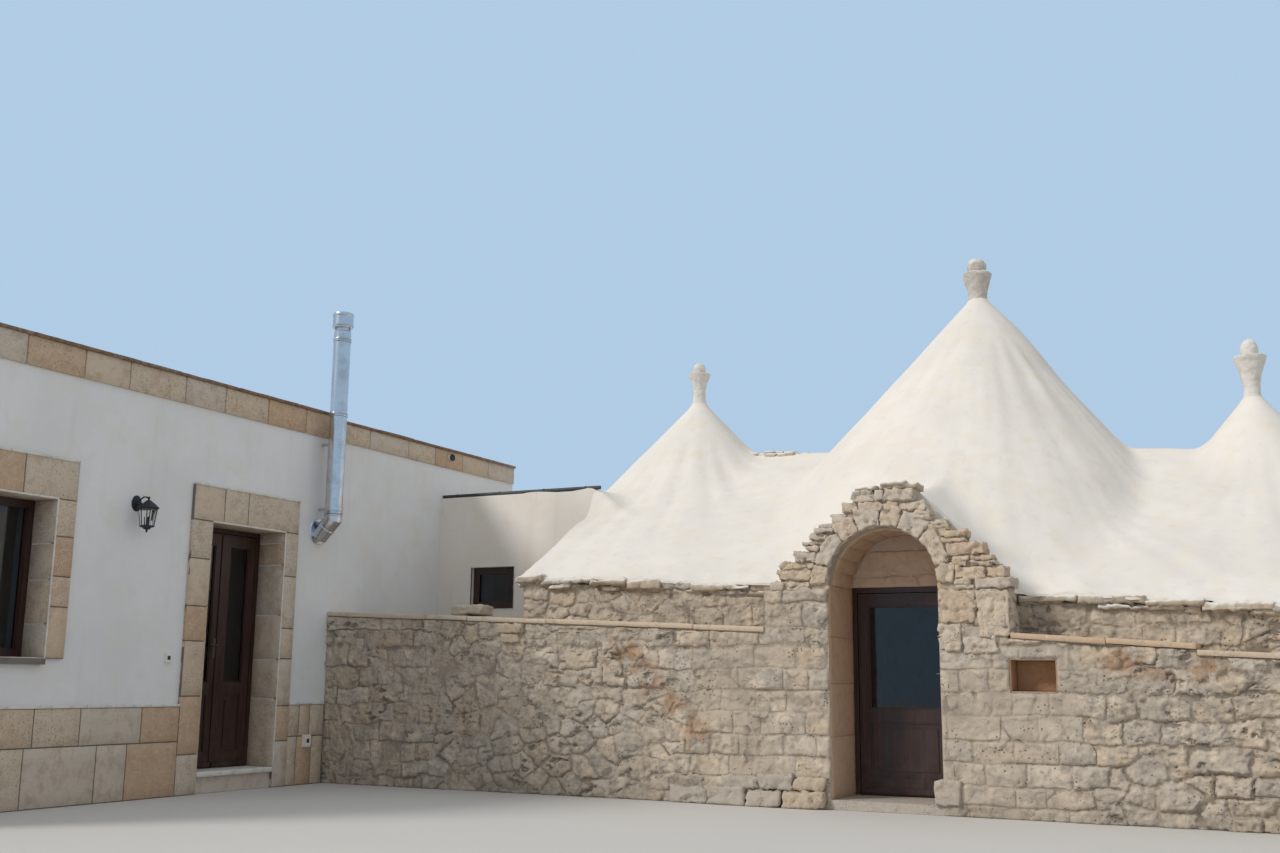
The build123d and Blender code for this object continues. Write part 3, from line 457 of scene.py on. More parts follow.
class Finish(Tree):
    """Material with one Principled shader."""

    def __init__(self, name, **shader):
        self.material = bpy.data.materials.new(name)
        self.material.use_nodes = True
        super().__init__(self.material.node_tree)
        self.bsdf = next(n for n in self.tree.nodes if n.type == "BSDF_PRINCIPLED")
        self.fill(self.bsdf, spaced(shader))

    def paint(self, base, rough, height, strength, distance):
        """Colour, roughness and bump of the shader; returns the material."""
        bump = self.add("ShaderNodeBump", {"Height": height, "Strength": strength, "Distance": distance})
        self.fill(self.bsdf, {"Base Color": base, "Roughness": rough, "Normal": bump})
        return self.material


def scaled(value, factor):
    return tuple(min(1.0, c * factor) for c in value)


def limewash(name, tint, dirt):
    """Brushed limewash: uneven and streaked."""
    t = Finish(name, Specular_IOR_Level=0.25)
    base = t.mix(t.blotches(0.9, 0.38, 0.66), tint, scaled(tint, 0.93))
    base = t.mix(t.blotches(0.22, 0.45, 0.75, 4.0), base, (tint[0] * 0.97, tint[1] * 0.94, tint[2] * 0.88))
    streaks = t.effect("Rain streaks", Width=0.1, Run=1.3, Low=0.52, High=0.8)
    base = t.mix(streaks * dirt, base, (0.4, 0.385, 0.36))
    height = t.effect("Grit", ("Height",), Grain=140.0, Lumps=11.0, Pits=20.0, Pit_Depth=0.25)
    return t.paint(base, t.ramp(height, 0.3, 0.9, 0.82, 0.95), height, 0.5, 0.006)


# Rust runs below iron on the rubble: top, run, reach and size of their spots
RUST = (((-2.63, -3.6, 1.4), (0.8, 0.0, -0.85), 0.2, 0.13),
        ((1.75, -3.6, 1.24), (0.7, 0.0, -0.06), 0.17, 0.16))


def masonry(name, stone, warm, mortar, pattern="relief"):
    """Rubble and its mortar. The pattern is read from the same place as the mesh's relief, or laid flat
    over the faces, or left out for plain mortar."""
    t = Finish(name, Specular_IOR_Level=0.2)
    s = sizes()
    place = t.place()
    height, pits = t.effect("Grit", GRIT, Grain=150.0, Lumps=26.0, Pits=30.0, Pit_Depth=1.3)
    base = bed = t.mix(t.blotches(0.3, 0.4, 0.65, 3.0), mortar, scaled(mortar, 0.8))
    if pattern:
        lay = t.add("ShaderNodeAttribute", out="Vector", attribute_name="lay")
        if pattern == "flat":
            x, y, z = t.split(place)
            upright = t.math("LESS_THAN", t.split(t.add("ShaderNodeNewGeometry", out="Normal"))[2], 0.5)
            lay = t.blend(upright, t.join(x, y, 9.0), t.join(y - x, z, 7.0))
        wall, share, tone = rubble_pattern(t, lay, s.stone_length, s.stone_height, s.joint)
        rock = t.mix(t.ramp(tone, 0.35, 1.0), stone, warm)
        rock = t.mix(t.ramp(tone, 0.0, 0.4, 0.6, 0.0), rock, scaled(stone, 1.32))
        rock = t.mix(t.blotches(0.07, 0.42, 0.7, 1.0), rock, scaled(stone, 0.74))
        rock = t.mix(t.blotches(0.16, 0.5, 0.68, 8.0), rock, scaled(mortar, 1.25))
        # painted shade: where the relief sinks between and under the stones, the colour goes to dark mortar,
        # in stretches that noise picks
        hollow = t.ramp(wall, -0.25, 0.2, 0.85, 0.0)
        hollow = hollow * t.ramp(t.noise(lay, 2.3, 3.0), 0.4, 0.6, 0.35, 1.0)
        base = t.mix(hollow, t.mix(t.ramp(share, 0.1, 0.5), bed, rock), scaled(mortar, 0.36))
        height = height * 0.55 + wall * 1.6
    # painted shade: the grit's pits are darkened nearly to black
    base = t.mix(pits * 0.8, base, (0.085, 0.07, 0.058))
    for top, run, reach, size in RUST:
        gone = place - top
        share = t.vector("DOT_PRODUCT", gone, run) / Vector(run).length_squared
        away = t.vector("LENGTH", gone - t.vector("SCALE", run, scale=t.add("ShaderNodeClamp", {0: share})))
        rust = t.ramp(away, 0.02, reach, 1.0, 0.0) * t.blotches(size, 0.44, 0.56, top[0])
        base = t.mix(rust * 0.66, base, (0.35, 0.195, 0.105))
    base = t.mix(t.ramp(t.split(place)[2], 0.0, 0.3, 0.3, 0.0), base, (0.3, 0.25, 0.19))
    return t.paint(base, t.ramp(height, 0.3, 1.2, 0.8, 0.96), height, 0.75, 0.014)


def dressed(name, pale, warm, whitened=0.0, lichen=0.0, pit_depth=0.5, bump=0.006, veined=False):
    """Cut stone: every block has its own tone; tops may be limewashed or lichened."""
    t = Finish(name, Specular_IOR_Level=0.25)
    tint = t.add("ShaderNodeAttribute", out="Fac", attribute_name="tint")
    base = t.mix(t.ramp(tint, 0.38, 0.85), pale, warm)
    grey = tuple(0.62 * c + 0.38 * sum(pale) / 3 for c in pale)
    base = t.mix(t.ramp(tint, 0.08, 0.4, 0.8, 0.0), base, grey)
    base = t.mix(t.blotches(0.09, 0.45, 0.7) * 0.55, base, scaled(warm, 0.8))
    base = t.mix(t.blotches(0.035, 0.5, 0.72, 6.0) * 0.4, base, scaled(pale, 1.12))
    height, pits = t.effect("Grit", GRIT, Grain=170.0, Lumps=30.0, Pits=60.0, Pit_Depth=pit_depth)
    own = t.ramp(t.math("FRACT", tint * 7.3), 0.35, 0.6, 0.25, 1.0)
    if veined:
        lines = t.noise(t.place() * (9.0, 9.0, 30.0), 1.0, 3.0, 0.6)
        lines = t.ramp(abs(lines - 0.5), 0.0, 0.035, 1.0, 0.0)
        share = t.ramp(t.math("FRACT", tint * 13.7), 0.3, 0.65, 0.15, 1.0)
        base = t.mix(t.blotches(0.016, 0.57, 0.64, 12.0) * (share * 0.65), base, scaled(warm, 0.42))
        base = t.mix(lines * (own * 0.38), base, scaled(warm, 0.62))
    # painted shade: on some blocks the pits are darkened
    base = t.mix(pits * (own * 0.85), base, scaled(warm, 0.28))
    if whitened:
        up = t.ramp(t.split(t.add("ShaderNodeNewGeometry", out="Normal"))[2], 0.05, 0.55)
        cover = t.math("ADD", t.blotches(0.12, 0.36, 0.52, 2.0), whitened, clamp=True)
        base = t.mix(t.math("MULTIPLY", up, cover, clamp=True), base, (0.76, 0.73, 0.67))
    if lichen:
        base = t.mix(t.blotches(0.05, 0.44, 0.56, 9.0) * lichen, base, (0.11, 0.075, 0.055))
    return t.paint(base, t.ramp(height, 0.3, 0.9, 0.76, 0.94), height, 0.8, bump)


def stained_wood(name, tone):
    """Dark stained timber, grain along the height, worn paler at the foot."""
    t = Finish(name, Specular_IOR_Level=0.45, Coat_Weight=0.12, Coat_Roughness=0.25)
    place = t.place()
    grain = t.noise(place * (38.0, 38.0, 2.2), 1.0, 5.0, 0.62)
    base = t.mix(t.ramp(grain, 0.35, 0.68), scaled(tone, 0.62), scaled(tone, 1.75))
    base = t.mix(t.blotches(0.5, 0.4, 0.7), base, scaled(tone, 1.1))
    dust = t.ramp(t.split(place)[2], 0.1, 0.75, 0.5, 0.0) * t.blotches(0.1, 0.35, 0.7)
    base = t.mix(dust * 0.5, base, (0.15, 0.1, 0.075))
    return t.paint(base, t.ramp(grain, 0.3, 0.7, 0.34, 0.58), grain, 0.35, 0.002)


def metal(name, tone, rough, brushed=0.0, metallic=1.0):
    """Metal with handling marks; brushed gives fine lines round the pipe."""
    t = Finish(name, Metallic=metallic)
    lines = t.noise(t.place() * (6.0, 6.0, 260.0 if brushed else 60.0), 1.0)
    stains = t.blotches(0.16, 0.4, 0.7)
    base = t.mix(lines * brushed, t.mix(stains, tone, scaled(tone, 0.78)), scaled(tone, 0.6))
    return t.paint(base, stains * 0.12 + rough, lines, 0.25, 0.0006)


def pane(name, tone, rough):
    """Window glass, slightly uneven and dusty."""
    t = Finish(name, Transmission_Weight=1.0, IOR=1.45, Specular_IOR_Level=0.3)
    dust = t.blotches(0.3, 0.4, 0.8)
    return t.paint(t.mix(dust, tone, scaled(tone, 0.94)), dust * 0.05 + rough, t.noise(t.place(), 2.5, 1.0),
            0.08, 0.01)


def moulded(name, tone):
    """White moulded plastic, a little yellowed."""
    t = Finish(name, Specular_IOR_Level=0.5)
    marks = t.blotches(0.03, 0.4, 0.8)
    base = t.mix(marks, tone, (tone[0] * 0.95, tone[1] * 0.92, tone[2] * 0.84))
    grain = t.effect("Grit", ("Height",), Grain=600.0, Lumps=90.0)
    return t.paint(base, marks * 0.1 + 0.38, grain, 0.1, 0.0004)


# ---------------------------------------------------------------- meshes

def sizes():
    return bpy.context.scene.trullo_sizes


def add_object(name, verts, faces):
    """New mesh object at the origin."""
    mesh = bpy.data.meshes.new(name)
    mesh.from_pydata([tuple(v) for v in verts], [], faces)
    mesh.update()
    obj = bpy.data.objects.new(name, mesh)
    bpy.context.scene.collection.objects.link(obj)
    return obj


def clamp_to_frame(obj):
    """Keeps a worn mesh inside the CAD model's box."""
    co = np.empty(len(obj.data.vertices) * 3)
    obj.data.vertices.foreach_get("co", co)
    co = co.reshape(-1, 3).clip(np.array(CAD_BOX[0]) + 2e-4, np.array(CAD_BOX[1]) - 2e-4)
    obj.data.vertices.foreach_set("co", co.ravel())
    obj.data.update()


def settle(obj, body=HOUSE, replaced=(), sharp=None):
    """Last steps of every piece: inside the frame's box, riding its body, with the CAD nodes it replaces
    hidden.
    """
    clamp_to_frame(obj)
    if sharp is not None:
        obj.data.shade_smooth()
        obj.data.set_sharp_from_angle(angle=radians(sharp))
    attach(obj, body)
    if replaced:
        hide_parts(*replaced)
    return obj


def dress(node, finish_name):
    """Gives a CAD node one of the finishes."""
    obj = NODES[node]
    if not obj.material_slots:
        obj.data.materials.append(None)
    for place in obj.material_slots:
        place.material = FINISHES[finish_name]


class Blocks:
    """Six-sided stones gathered into one mesh, each with its own tint, its faces divided into cells."""

    def __init__(self, seed, cell=None):
        self.rng = random.Random(seed)
        self.cell = cell or sizes().stone_cell
        self.verts, self.faces, self.tints = [], [], []

    def add(self, corners, tint=None, shape=None):
        """Corners of two opposite faces, each taken round in the same turn; shape may bend the stone."""
        c = np.array([tuple(p) for p in corners], float)
        n = [max(1, min(48, round(dist(c[0], c[k]) / self.cell))) for k in (1, 3, 4)]
        index = {}

        def point(i, j, k):
            if (i, j, k) not in index:
                u, v, w = i / n[0], j / n[1], k / n[2]
                share = ((1 - u) * (1 - v), u * (1 - v), u * v, (1 - u) * v)
                at = shape(u, v, w) if shape else sum(f * ((1 - w) * c[q] + w * c[q + 4])
                        for q, f in enumerate(share))
                index[i, j, k] = len(self.verts)
                self.verts.append(tuple(at))
            return index[i, j, k]

        count = len(self.faces)
        for axis in range(3):
            a, b = [k for k in range(3) if k != axis]
            for end in (0, n[axis]):
                for i in range(n[a]):
                    for j in range(n[b]):
                        face = []
                        for di, dj in ((0, 0), (1, 0), (1, 1), (0, 1)):
                            at = [0, 0, 0]
                            at[axis], at[a], at[b] = end, i + di, j + dj
                            face.append(point(*at))
                        self.faces.append(tuple(face))
        self.tints += [self.rng.random() if tint is None else tint] * (len(self.faces) - count)

    def box(self, x0, x1, y0, y1, z0, z1, tint=None, skew=0.0):
        def off():
            return self.rng.uniform(-skew, skew)
        ring = ((x0, y0), (x1, y0), (x1, y1), (x0, y1))
        self.add([(x + off(), y + off(), z + off()) for z in (z0, z1) for x, y in ring], tint)

    def row(self, x, y, z, mean, spread=0.25, gap=0.006, tint=None):
        """Stones side by side along Y; x, y and z are pairs."""
        for a, b in self.cuts(*y, mean, spread):
            self.box(*x, a + gap / 2, b - gap / 2, *z, tint)

    def cuts(self, start, end, mean, spread=0.25):
        """Divides a run into lengths near mean."""
        count = max(1, round(abs(end - start) / mean))
        marks = [start + (end - start) * (i + (self.rng.uniform(-spread, spread) if 0 < i < count else 0))
                 / count for i in range(count + 1)]
        return list(zip(marks, marks[1:]))

    def build(self, name, finish_name, rounding=1, wear=0.01, size=7.0, fine=0.004, bevel=0.0, chips=0.0):
        """Eases or wears the stones and returns the piece."""
        obj = add_object(name, self.verts, self.faces)
        tint = obj.data.attributes.new("tint", "FLOAT", "FACE")
        tint.data.foreach_set("value", self.tints)
        ease(obj, bevel)
        return run_nodes(obj, TREES["weathered"], Rounding=rounding, Wear=wear, Wear_Size=size, Fine=fine,
                Chips=chips, Material=FINISHES[finish_name])


def ease(obj, bevel=0.0, angle=0.7, segments=1):
    """Turns the faces outwards and eases the hard edges."""
    bm = bmesh.new()
    bm.from_mesh(obj.data)
    bmesh.ops.recalc_face_normals(bm, faces=bm.faces)
    if bevel:
        hard = [e for e in bm.edges if e.calc_face_angle(0.0) > angle]
        bmesh.ops.bevel(bm, geom=hard, offset=bevel, segments=segments, affect="EDGES", clamp_overlap=True)
    bm.to_mesh(obj.data)
    bm.free()


def turns(count, phase=0.0):
    """Angles all the way round."""
    return [tau * (k + phase) / count for k in range(count)]


def ringed(rings):
    """Closed skin through rings of equal count."""
    count = len(rings[0])
    faces = []
    for i in range(len(rings) - 1):
        for j in range(count):
            a, b = i * count + j, i * count + (j + 1) % count
            faces.append((a, b, b + count, a + count))
    faces.append(tuple(range(count - 1, -1, -1)))
    faces.append(tuple(range((len(rings) - 1) * count, len(rings) * count)))
    return [p for ring in rings for p in ring], faces


def turned(centre, profile, sides=48, phase=0.0):
    """Skin turned about an upright axis; profile is pairs of radius and height."""
    x, y, z = centre
    return ringed([[(x + r * cos(a), y + r * sin(a), z + h) for a in turns(sides, phase)]
            for r, h in profile])


def tube(points, radius, sides=12):
    """Skin of a bent rod through points."""
    pts = [Vector(p) for p in points]
    rings, side = [], None
    for i, p in enumerate(pts):
        along = (pts[min(i + 1, len(pts) - 1)] - pts[max(i - 1, 0)]).normalized()
        side = (side or along.orthogonal()) - along * along.dot(side or along.orthogonal())
        side.normalize()
        other = along.cross(side)
        r = radius[i] if isinstance(radius, list) else radius
        rings.append([p + (side * cos(a) + other * sin(a)) * r for a in turns(sides)])
    return ringed(rings)


def moved(skin, place):
    """Skin with every point put where place says."""
    return [place(*p) for p in skin[0]], skin[1]


def cuboid(x0, x1, y0, y1, z0, z1):
    """Plain box as vertices and faces, to be joined into a larger piece."""
    ring = ((x0, y0), (x1, y0), (x1, y1), (x0, y1))
    return ([(x, y, z) for z in (z0, z1) for x, y in ring],
            [(0, 3, 2, 1), (4, 5, 6, 7), (0, 1, 5, 4), (1, 2, 6, 5), (2, 3, 7, 6), (3, 0, 4, 7)])


def joined(name, parts, finish_name, body=HOUSE, replaced=(), bevel=0.0, sharp=35):
    """One piece from several skins, with its edges eased."""
    verts, faces = [], []
    for skin, skin_faces in parts:
        start = len(verts)
        verts += skin
        faces += [tuple(start + i for i in face) for face in skin_faces]
    obj = add_object(name, verts, faces)
    ease(obj, bevel, radians(40), 2)
    obj.data.materials.append(FINISHES[finish_name])
    return settle(obj, body, replaced, sharp)


# ---------------------------------------------------------------- plastered roof

def stepped(p, q, step):
    """Points from p to just before q, about step apart."""
    count = max(1, round(dist(p, q) / step))
    return [tuple(a + (b - a) * i / count for a, b in zip(p, q)) for i in range(count)]


def tangents():
    """Directions from the main cone's axis to where its walls run on to the right and the left cone."""
    main, left, right = AXES.values()
    return acos((main[1] - right[1]) / right[0]), pi - acos((main[1] - left[1]) / -left[0])


def smooth_max(a, b, k):
    h = np.maximum(k - np.abs(a - b), 0) / k
    return np.maximum(a, b) + h * h * k * 0.25


def smooth_min(a, b, k):
    return -smooth_max(-a, -b, k)


def eave_level(x):
    return EAVE_Z - EAVE_FALL * x


def arc_level(r, centre, radius, below):
    """Height on a circular arc at distance r."""
    drop = np.sqrt(np.maximum(radius ** 2 - (r - centre[0]) ** 2, 0))
    return centre[1] - drop if below else centre[1] + drop


def cone_level(x, y, axis, radius, top):
    """Height of one cone: straight slope, then a sweep up into its neck."""
    r = np.hypot(x - axis, y)
    if axis == AXES["main"][0]:       # this one is steeper on its right-hand side
        lean = np.clip((r - 0.3) / 0.6, 0, 1)
        r = np.hypot((x - axis) * np.where(x > axis, 1 + 0.16 * lean * lean * (3 - 2 * lean), 1.0), y)
    foot = eave_level(axis)
    meet = top - FLARE_H
    run = np.array([FLARE_OUT - radius, meet - foot])
    run /= np.linalg.norm(run)
    normal = np.array([run[1], -run[0]])
    span = np.array([NECK_R - FLARE_OUT, FLARE_H])
    rho = span @ span / (2 * span @ normal)
    centre = np.array([FLARE_OUT, meet]) + normal * rho
    slope = meet - (r - FLARE_OUT) * (meet - foot) / (radius - FLARE_OUT)
    level = np.where(r > FLARE_OUT, slope, arc_level(np.maximum(r, NECK_R), centre, rho, True))
    return np.where(r < NECK_R, top, level)


def roof_level(x, y):
    """Height of the whole plastered roof, with the valleys filled."""
    k = sizes().valley
    ridge, eave = RIDGE_Z - EAVE_FALL * x, eave_level(x)
    front = eave + (y - FRONT_Y) / -FRONT_Y * (ridge - eave)
    back = eave + (SADDLE_BACK - y) / SADDLE_BACK * (ridge - eave)
    saddle = smooth_min(front, back, 0.16) + 0.03
    hips = np.minimum(2.9 + (x - DRUM_LEFT) * 1.96, 3.9 - (x - AXES["right"][0]) * 1.766)
    saddle = smooth_min(saddle, hips, 0.2)
    level = smooth_max(cone_level(x, y, *AXES["main"]), saddle, k)
    for name in ("left", "right"):
        level = smooth_max(level, cone_level(x, y, *AXES[name]), k)
    # shoulder between the left cone and the block
    shoulder = smooth_min(3.18 + 0 * x, 3.18 - 0.81 * (x + 3.96), 0.15)
    shoulder = np.minimum(shoulder, 3.18 + np.minimum(0, (y - BLOCK_Y + 0.012) * 2.4))
    shoulder = np.minimum(shoulder, 3.18 - np.maximum(0, y - BLOCK_BACK) * 2.4)
    level = smooth_max(level, shoulder, 0.16)
    # the portal's roof, widening as it runs back, and the edge of its gable
    t = np.clip((y - FRONT_Y) / 1.25, 0, 1.4)
    peak_x, peak_z, half = -0.04 + 0.19 * t, 2.69 + 0.36 * t, 1.04 + 0.62 * t
    left = peak_z - (peak_x - x) * (peak_z - 1.83) / (peak_x + half)
    right = peak_z - (x - peak_x) * (peak_z - 1.83) / (half - peak_x)
    portal = smooth_min(left, right, 0.12)
    portal = np.where(y < -1.3, portal, -9.0)
    level = smooth_max(level, portal, 0.12)
    gable = np.minimum(2.54 + (x + 0.46), 2.56 - 0.96 * (x - 0.29))
    gable = smooth_min(gable, 2.725 + 0 * x, 0.06) - 1.5 * np.maximum(0, y - FRONT_Y + 0.03)
    gable = np.where((x > PIER_LEFT) & (x < 1.05) & (y < FRONT_Y + 0.5), gable, -9.0)
    return smooth_max(level, gable, 0.06)


def roof_underside(x, y):
    """Underside of the roof: the eave's level, with the corbelled vaults hollowed out."""
    level = eave_level(x)
    for name, (axis, _, top) in AXES.items():
        room = ROOMS[name]
        apex = top - VAULT_COVER
        r = np.hypot(x - axis, y)
        rise = apex - SPRING_Z
        p = np.array([[room, SPRING_Z], [room * BULGE_R, SPRING_Z + rise * BULGE_Z], [VAULT_APEX, apex]])
        m = 2 * (p[1:] - p[0])
        centre = np.linalg.solve(m, (p[1:] ** 2).sum(1) - (p[0] ** 2).sum())
        rho = np.linalg.norm(p[0] - centre)
        vault = np.where(r < VAULT_APEX, apex, arc_level(r, centre, rho, centre[1] > SPRING_Z))
        level = np.where(r < room, np.maximum(level, vault), level)
    over_door = (np.abs(x - DOOR_X) < DOOR_HALF + 0.13) & (y > DOOR_Y) & (y < -0.8)
    level = np.where(over_door, np.maximum(level, DOOR_HEAD + 0.01), level)
    span = np.sqrt(np.maximum((DOOR_HALF + 0.012) ** 2 - (x - DOOR_X) ** 2, 0))
    in_arch = (np.abs(x - DOOR_X) < DOOR_HALF + 0.012) & (y < TYMPANUM_BACK + 0.01)
    return np.where(in_arch, np.maximum(level, ARCH_Z + span), level)


def roof_outline(step):
    """Plan of the roof, anticlockwise, as points; its edge lips over the walls by the eave lip."""
    lip = sizes().eave_lip
    tangent_r, tangent_l = tangents()

    def arc(axis, radius, a0, a1):
        count = max(2, int(abs(a1 - a0) * radius / step))
        return [(axis + radius * cos(a0 + (a1 - a0) * i / count),
                 radius * sin(a0 + (a1 - a0) * i / count)) for i in range(count + 1)]

    main, left, right = AXES.values()
    front_y = FRONT_Y - lip

    def ragged(x, y):
        """Front edge of the limewash, which runs unevenly over the eave slabs."""
        if abs(y - front_y) > 1e-6:
            return x, y
        return x, y - 0.034 * (1 + 0.9 * noise.noise(Vector((x * 3.1, 0.0, 2.0)))
                + 0.9 * noise.noise(Vector((x * 11.0, 5.0, 2.0))))
    left_end = -pi + asin(-BLOCK_BACK / left[1])
    cover_y = FORE_Y + 0.16
    points = [(DRUM_LEFT - lip, front_y), (-1.15, front_y), (-1.15, cover_y), (0.955, cover_y),
              (0.955, front_y), (FRONT_RIGHT + lip, front_y)]
    points += arc(right[0], right[1] + lip, -acos((FRONT_RIGHT + lip - right[0]) / (right[1] + lip)),
            tangent_r)
    points += arc(main[0], main[1] + lip, tangent_r, tangent_l)
    points += arc(left[0], left[1] + lip, tangent_l, left_end + tau)
    points += [(BLOCK_ROOM, BLOCK_BACK), (BLOCK_ROOM, BLOCK_Y), (DRUM_LEFT - lip, BLOCK_Y)]
    dense = []
    for p, q in zip(points, points[1:] + points[:1]):
        dense += [ragged(*at) for at in stepped(p, q, step)]
    low, high = CAD_BOX
    return [(min(max(x, low.x), high.x), min(max(y, low.y), high.y)) for x, y in dense]


def inside_and_far(points, outline, margin):
    """Which points are inside the outline and at least margin away from it."""
    poly = np.array(outline)
    nxt = np.roll(poly, -1, axis=0)
    inside = np.zeros(len(points), bool)
    near = np.full(len(points), 9.0)
    for (x0, y0), (x1, y1) in zip(poly, nxt):
        crosses = (y0 > points[:, 1]) != (y1 > points[:, 1])
        if y0 != y1:
            inside ^= crosses & (points[:, 0] < (x1 - x0) * (points[:, 1] - y0) / (y1 - y0) + x0)
        d = np.array([x1 - x0, y1 - y0])
        t = np.clip(((points - (x0, y0)) @ d) / max(d @ d, 1e-12), 0, 1)
        near = np.minimum(near, np.hypot(*(points - (x0, y0) - t[:, None] * d).T))
    return inside & (near > margin)


def build_roof():
    """Plastered skin over all three cones, their saddles, the shoulder and the portal's roof."""
    cell = sizes().plaster_cell
    outline = roof_outline(cell)
    rows = []
    low, high = np.min(outline, axis=0), np.max(outline, axis=0)
    for j in range(int((high[1] - low[1]) / (cell * 0.866)) + 1):
        shift = cell / 2 if j % 2 else 0.0
        xs = np.arange(low[0] + shift, high[0], cell)
        rows.append(np.column_stack([xs, np.full(len(xs), low[1] + j * cell * 0.866)]))
    grid = np.vstack(rows)
    for axis, _, _ in AXES.values():
        grid = grid[np.hypot(grid[:, 0] - axis, grid[:, 1]) > 0.62]
    rings = []
    for axis, _, _ in AXES.values():
        for i, r in enumerate((0.0, 0.06, 0.094, 0.099, 0.106, 0.116, 0.13, 0.15, 0.175, 0.205, 0.24, 0.28,
                0.325, 0.375, 0.425, 0.475, 0.53, 0.585)):
            count = 1 if r == 0 else 44 if r > 0.2 else 30
            turn = (i % 2) * pi / count
            rings += [(axis + r * cos(tau * k / count + turn),
                       r * sin(tau * k / count + turn)) for k in range(count)]
    points = np.vstack([grid, rings])
    points = points[inside_and_far(points, outline, cell * 0.55)]
    flat = [Vector(p) for p in outline] + [Vector(p) for p in points]
    edges = [(i, (i + 1) % len(outline)) for i in range(len(outline))]
    verts2, _, faces, _, _, _ = geometry.delaunay_2d_cdt(flat, edges, [], 1, 1e-5)
    xy = np.array([tuple(v) for v in verts2])
    x, y = xy.T
    under = roof_underside(x, y)
    level = np.maximum(roof_level(x, y) + 0.008, under + sizes().eave_lip)
    near_edge = np.clip((FRONT_Y + 0.02 - y) / 0.09, 0, 1) * ((x < -1.2) | (x > 1.0))
    level -= (level - under - 0.004) * near_edge ** 2 * 0.8
    wave = sizes().wave
    for i, (px, py) in enumerate(xy):
        where = Vector((px, py, level[i]))
        near = min(hypot(px - a[0], py) for a in AXES.values())
        calm = min(1.0, max(0.1, (near - 0.15) / 0.7))
        beyond = [hypot(px - a[0], py) - a[1] for a in AXES.values()]
        shares = [exp((min(beyond) - b) / 0.18) for b in beyond]
        ripple = 0.0
        for share, (axis, _, _) in zip(shares, AXES.values()):
            turn = atan2(px - axis, -py)        # its seam lies at the back
            ripple += share / sum(shares) * (noise.noise(Vector((turn * 6.0, level[i] * 0.6, axis)))
                    + 0.4 * noise.noise(Vector((turn * 17.0, level[i] * 1.1, axis))))
        level[i] += calm * wave * (noise.noise(where * 1.6) + 0.5 * noise.noise(where * 5.3) + 2.6 * ripple)
        if py < FRONT_Y + 0.25:
            fade = min(1.0, (FRONT_Y + 0.25 - py) / 0.2)
            level[i] += fade * (0.014 * noise.noise(where * 8.0) + 0.008 * noise.noise(where * 19.0))
    count = len(xy)
    verts = np.vstack([np.column_stack([xy, level]), np.column_stack([xy, np.minimum(under, level - 0.02)])])
    used = {}
    for face in faces:
        for a, b in zip(face, face[1:] + face[:1]):
            used[(a, b)] = used.get((a, b), 0) + 1
    rim = [(a, b) for a, b in used if (b, a) not in used]
    skin = [tuple(f) for f in faces] + [tuple(i + count for i in reversed(f)) for f in faces]
    skin += [(b, a, a + count, b + count) for a, b in rim]
    obj = add_object("plaster_roof", verts, skin)
    obj.data.materials.append(FINISHES["limewash"])
    settle(obj, replaced=("main_cone", "left_cone", "right_cone", "roof_saddles",
            "block_shoulder", "portal_roof"), sharp=55)


def build_ridge_stones():
    """Rough stones left bare on top of the left saddle."""
    stones = Blocks(41)
    rng = stones.rng
    for i in range(15):
        x = -2.74 + 0.62 * i / 14
        y = rng.uniform(-0.09, 0.09)
        z = RIDGE_Z - EAVE_FALL * x - 0.075 + (0.02 if i % 3 else 0.0)
        w = rng.uniform(0.035, 0.07)
        stones.box(x - w, x + w, y - w, y + w, z, z + rng.uniform(0.05, 0.085), skew=0.015)
    obj = stones.build("ridge_stones", "whitened_stone", 1, 0.016, 9.0, 0.006)
    settle(obj)


def build_finials():
    """Finials of rough stone: neck, cup with a broken rim, and the knob on top."""
    shapes = {
        "main": (((0.098, -0.1), (0.104, 0.0), (0.101, 0.05), (0.108, 0.1), (0.124, 0.16), (0.148, 0.22),
                  (0.163, 0.27), (0.165, 0.295), (0.15, 0.305), (0.112, 0.3), (0.094, 0.306),
                  (0.101, 0.335), (0.106, 0.375), (0.103, 0.415), (0.086, 0.45), (0.052, 0.474),
                  (0.0, 0.48)), "finial_stone", 0.01),
        "left": (((0.098, -0.1), (0.094, 0.0), (0.082, 0.04), (0.074, 0.1), (0.072, 0.17), (0.079, 0.22),
                  (0.1, 0.29), (0.127, 0.35), (0.139, 0.385), (0.128, 0.394), (0.084, 0.386),
                  (0.067, 0.392), (0.075, 0.425), (0.074, 0.465), (0.058, 0.505), (0.03, 0.526),
                  (0.0, 0.53)), "finial_pale", 0.006),
        "right": (((0.098, -0.1), (0.095, 0.0), (0.084, 0.04), (0.079, 0.12), (0.084, 0.17), (0.108, 0.27),
                   (0.142, 0.37), (0.163, 0.425), (0.164, 0.44), (0.148, 0.448), (0.094, 0.438),
                   (0.078, 0.446), (0.085, 0.49), (0.085, 0.53), (0.07, 0.58), (0.042, 0.618),
                   (0.0, 0.63)), "finial_pale", 0.006),
    }
    for key, (profile, finish_name, wear) in shapes.items():
        axis, _, top = AXES[key]
        dense = []
        for p, q in zip(profile, profile[1:]):
            dense += stepped(p, q, 0.012)
        dense.append((0.001, profile[-1][1]))
        verts, faces = turned((axis, 0.0, top), dense, 40)
        worn = []
        for p in verts:
            place = Vector(p)
            out = Vector((p[0] - axis, p[1], 0.0))
            out.normalize()
            shift = wear * (noise.noise(place * 9.0) + 0.7 * noise.noise(place * 23.0))
            rim = 0.01 * noise.noise(Vector((atan2(out.y, out.x) * 2.2, axis, 0.0)))
            worn.append(place + out * shift + Vector((0, 0, rim if p[2] > top + 0.2 else 0.0)))
        obj = add_object("finial_" + key, worn, faces)
        obj.data.materials.append(FINISHES[finish_name])
        settle(obj, replaced=("finials",), sharp=60)


# ---------------------------------------------------------------- rubble walls

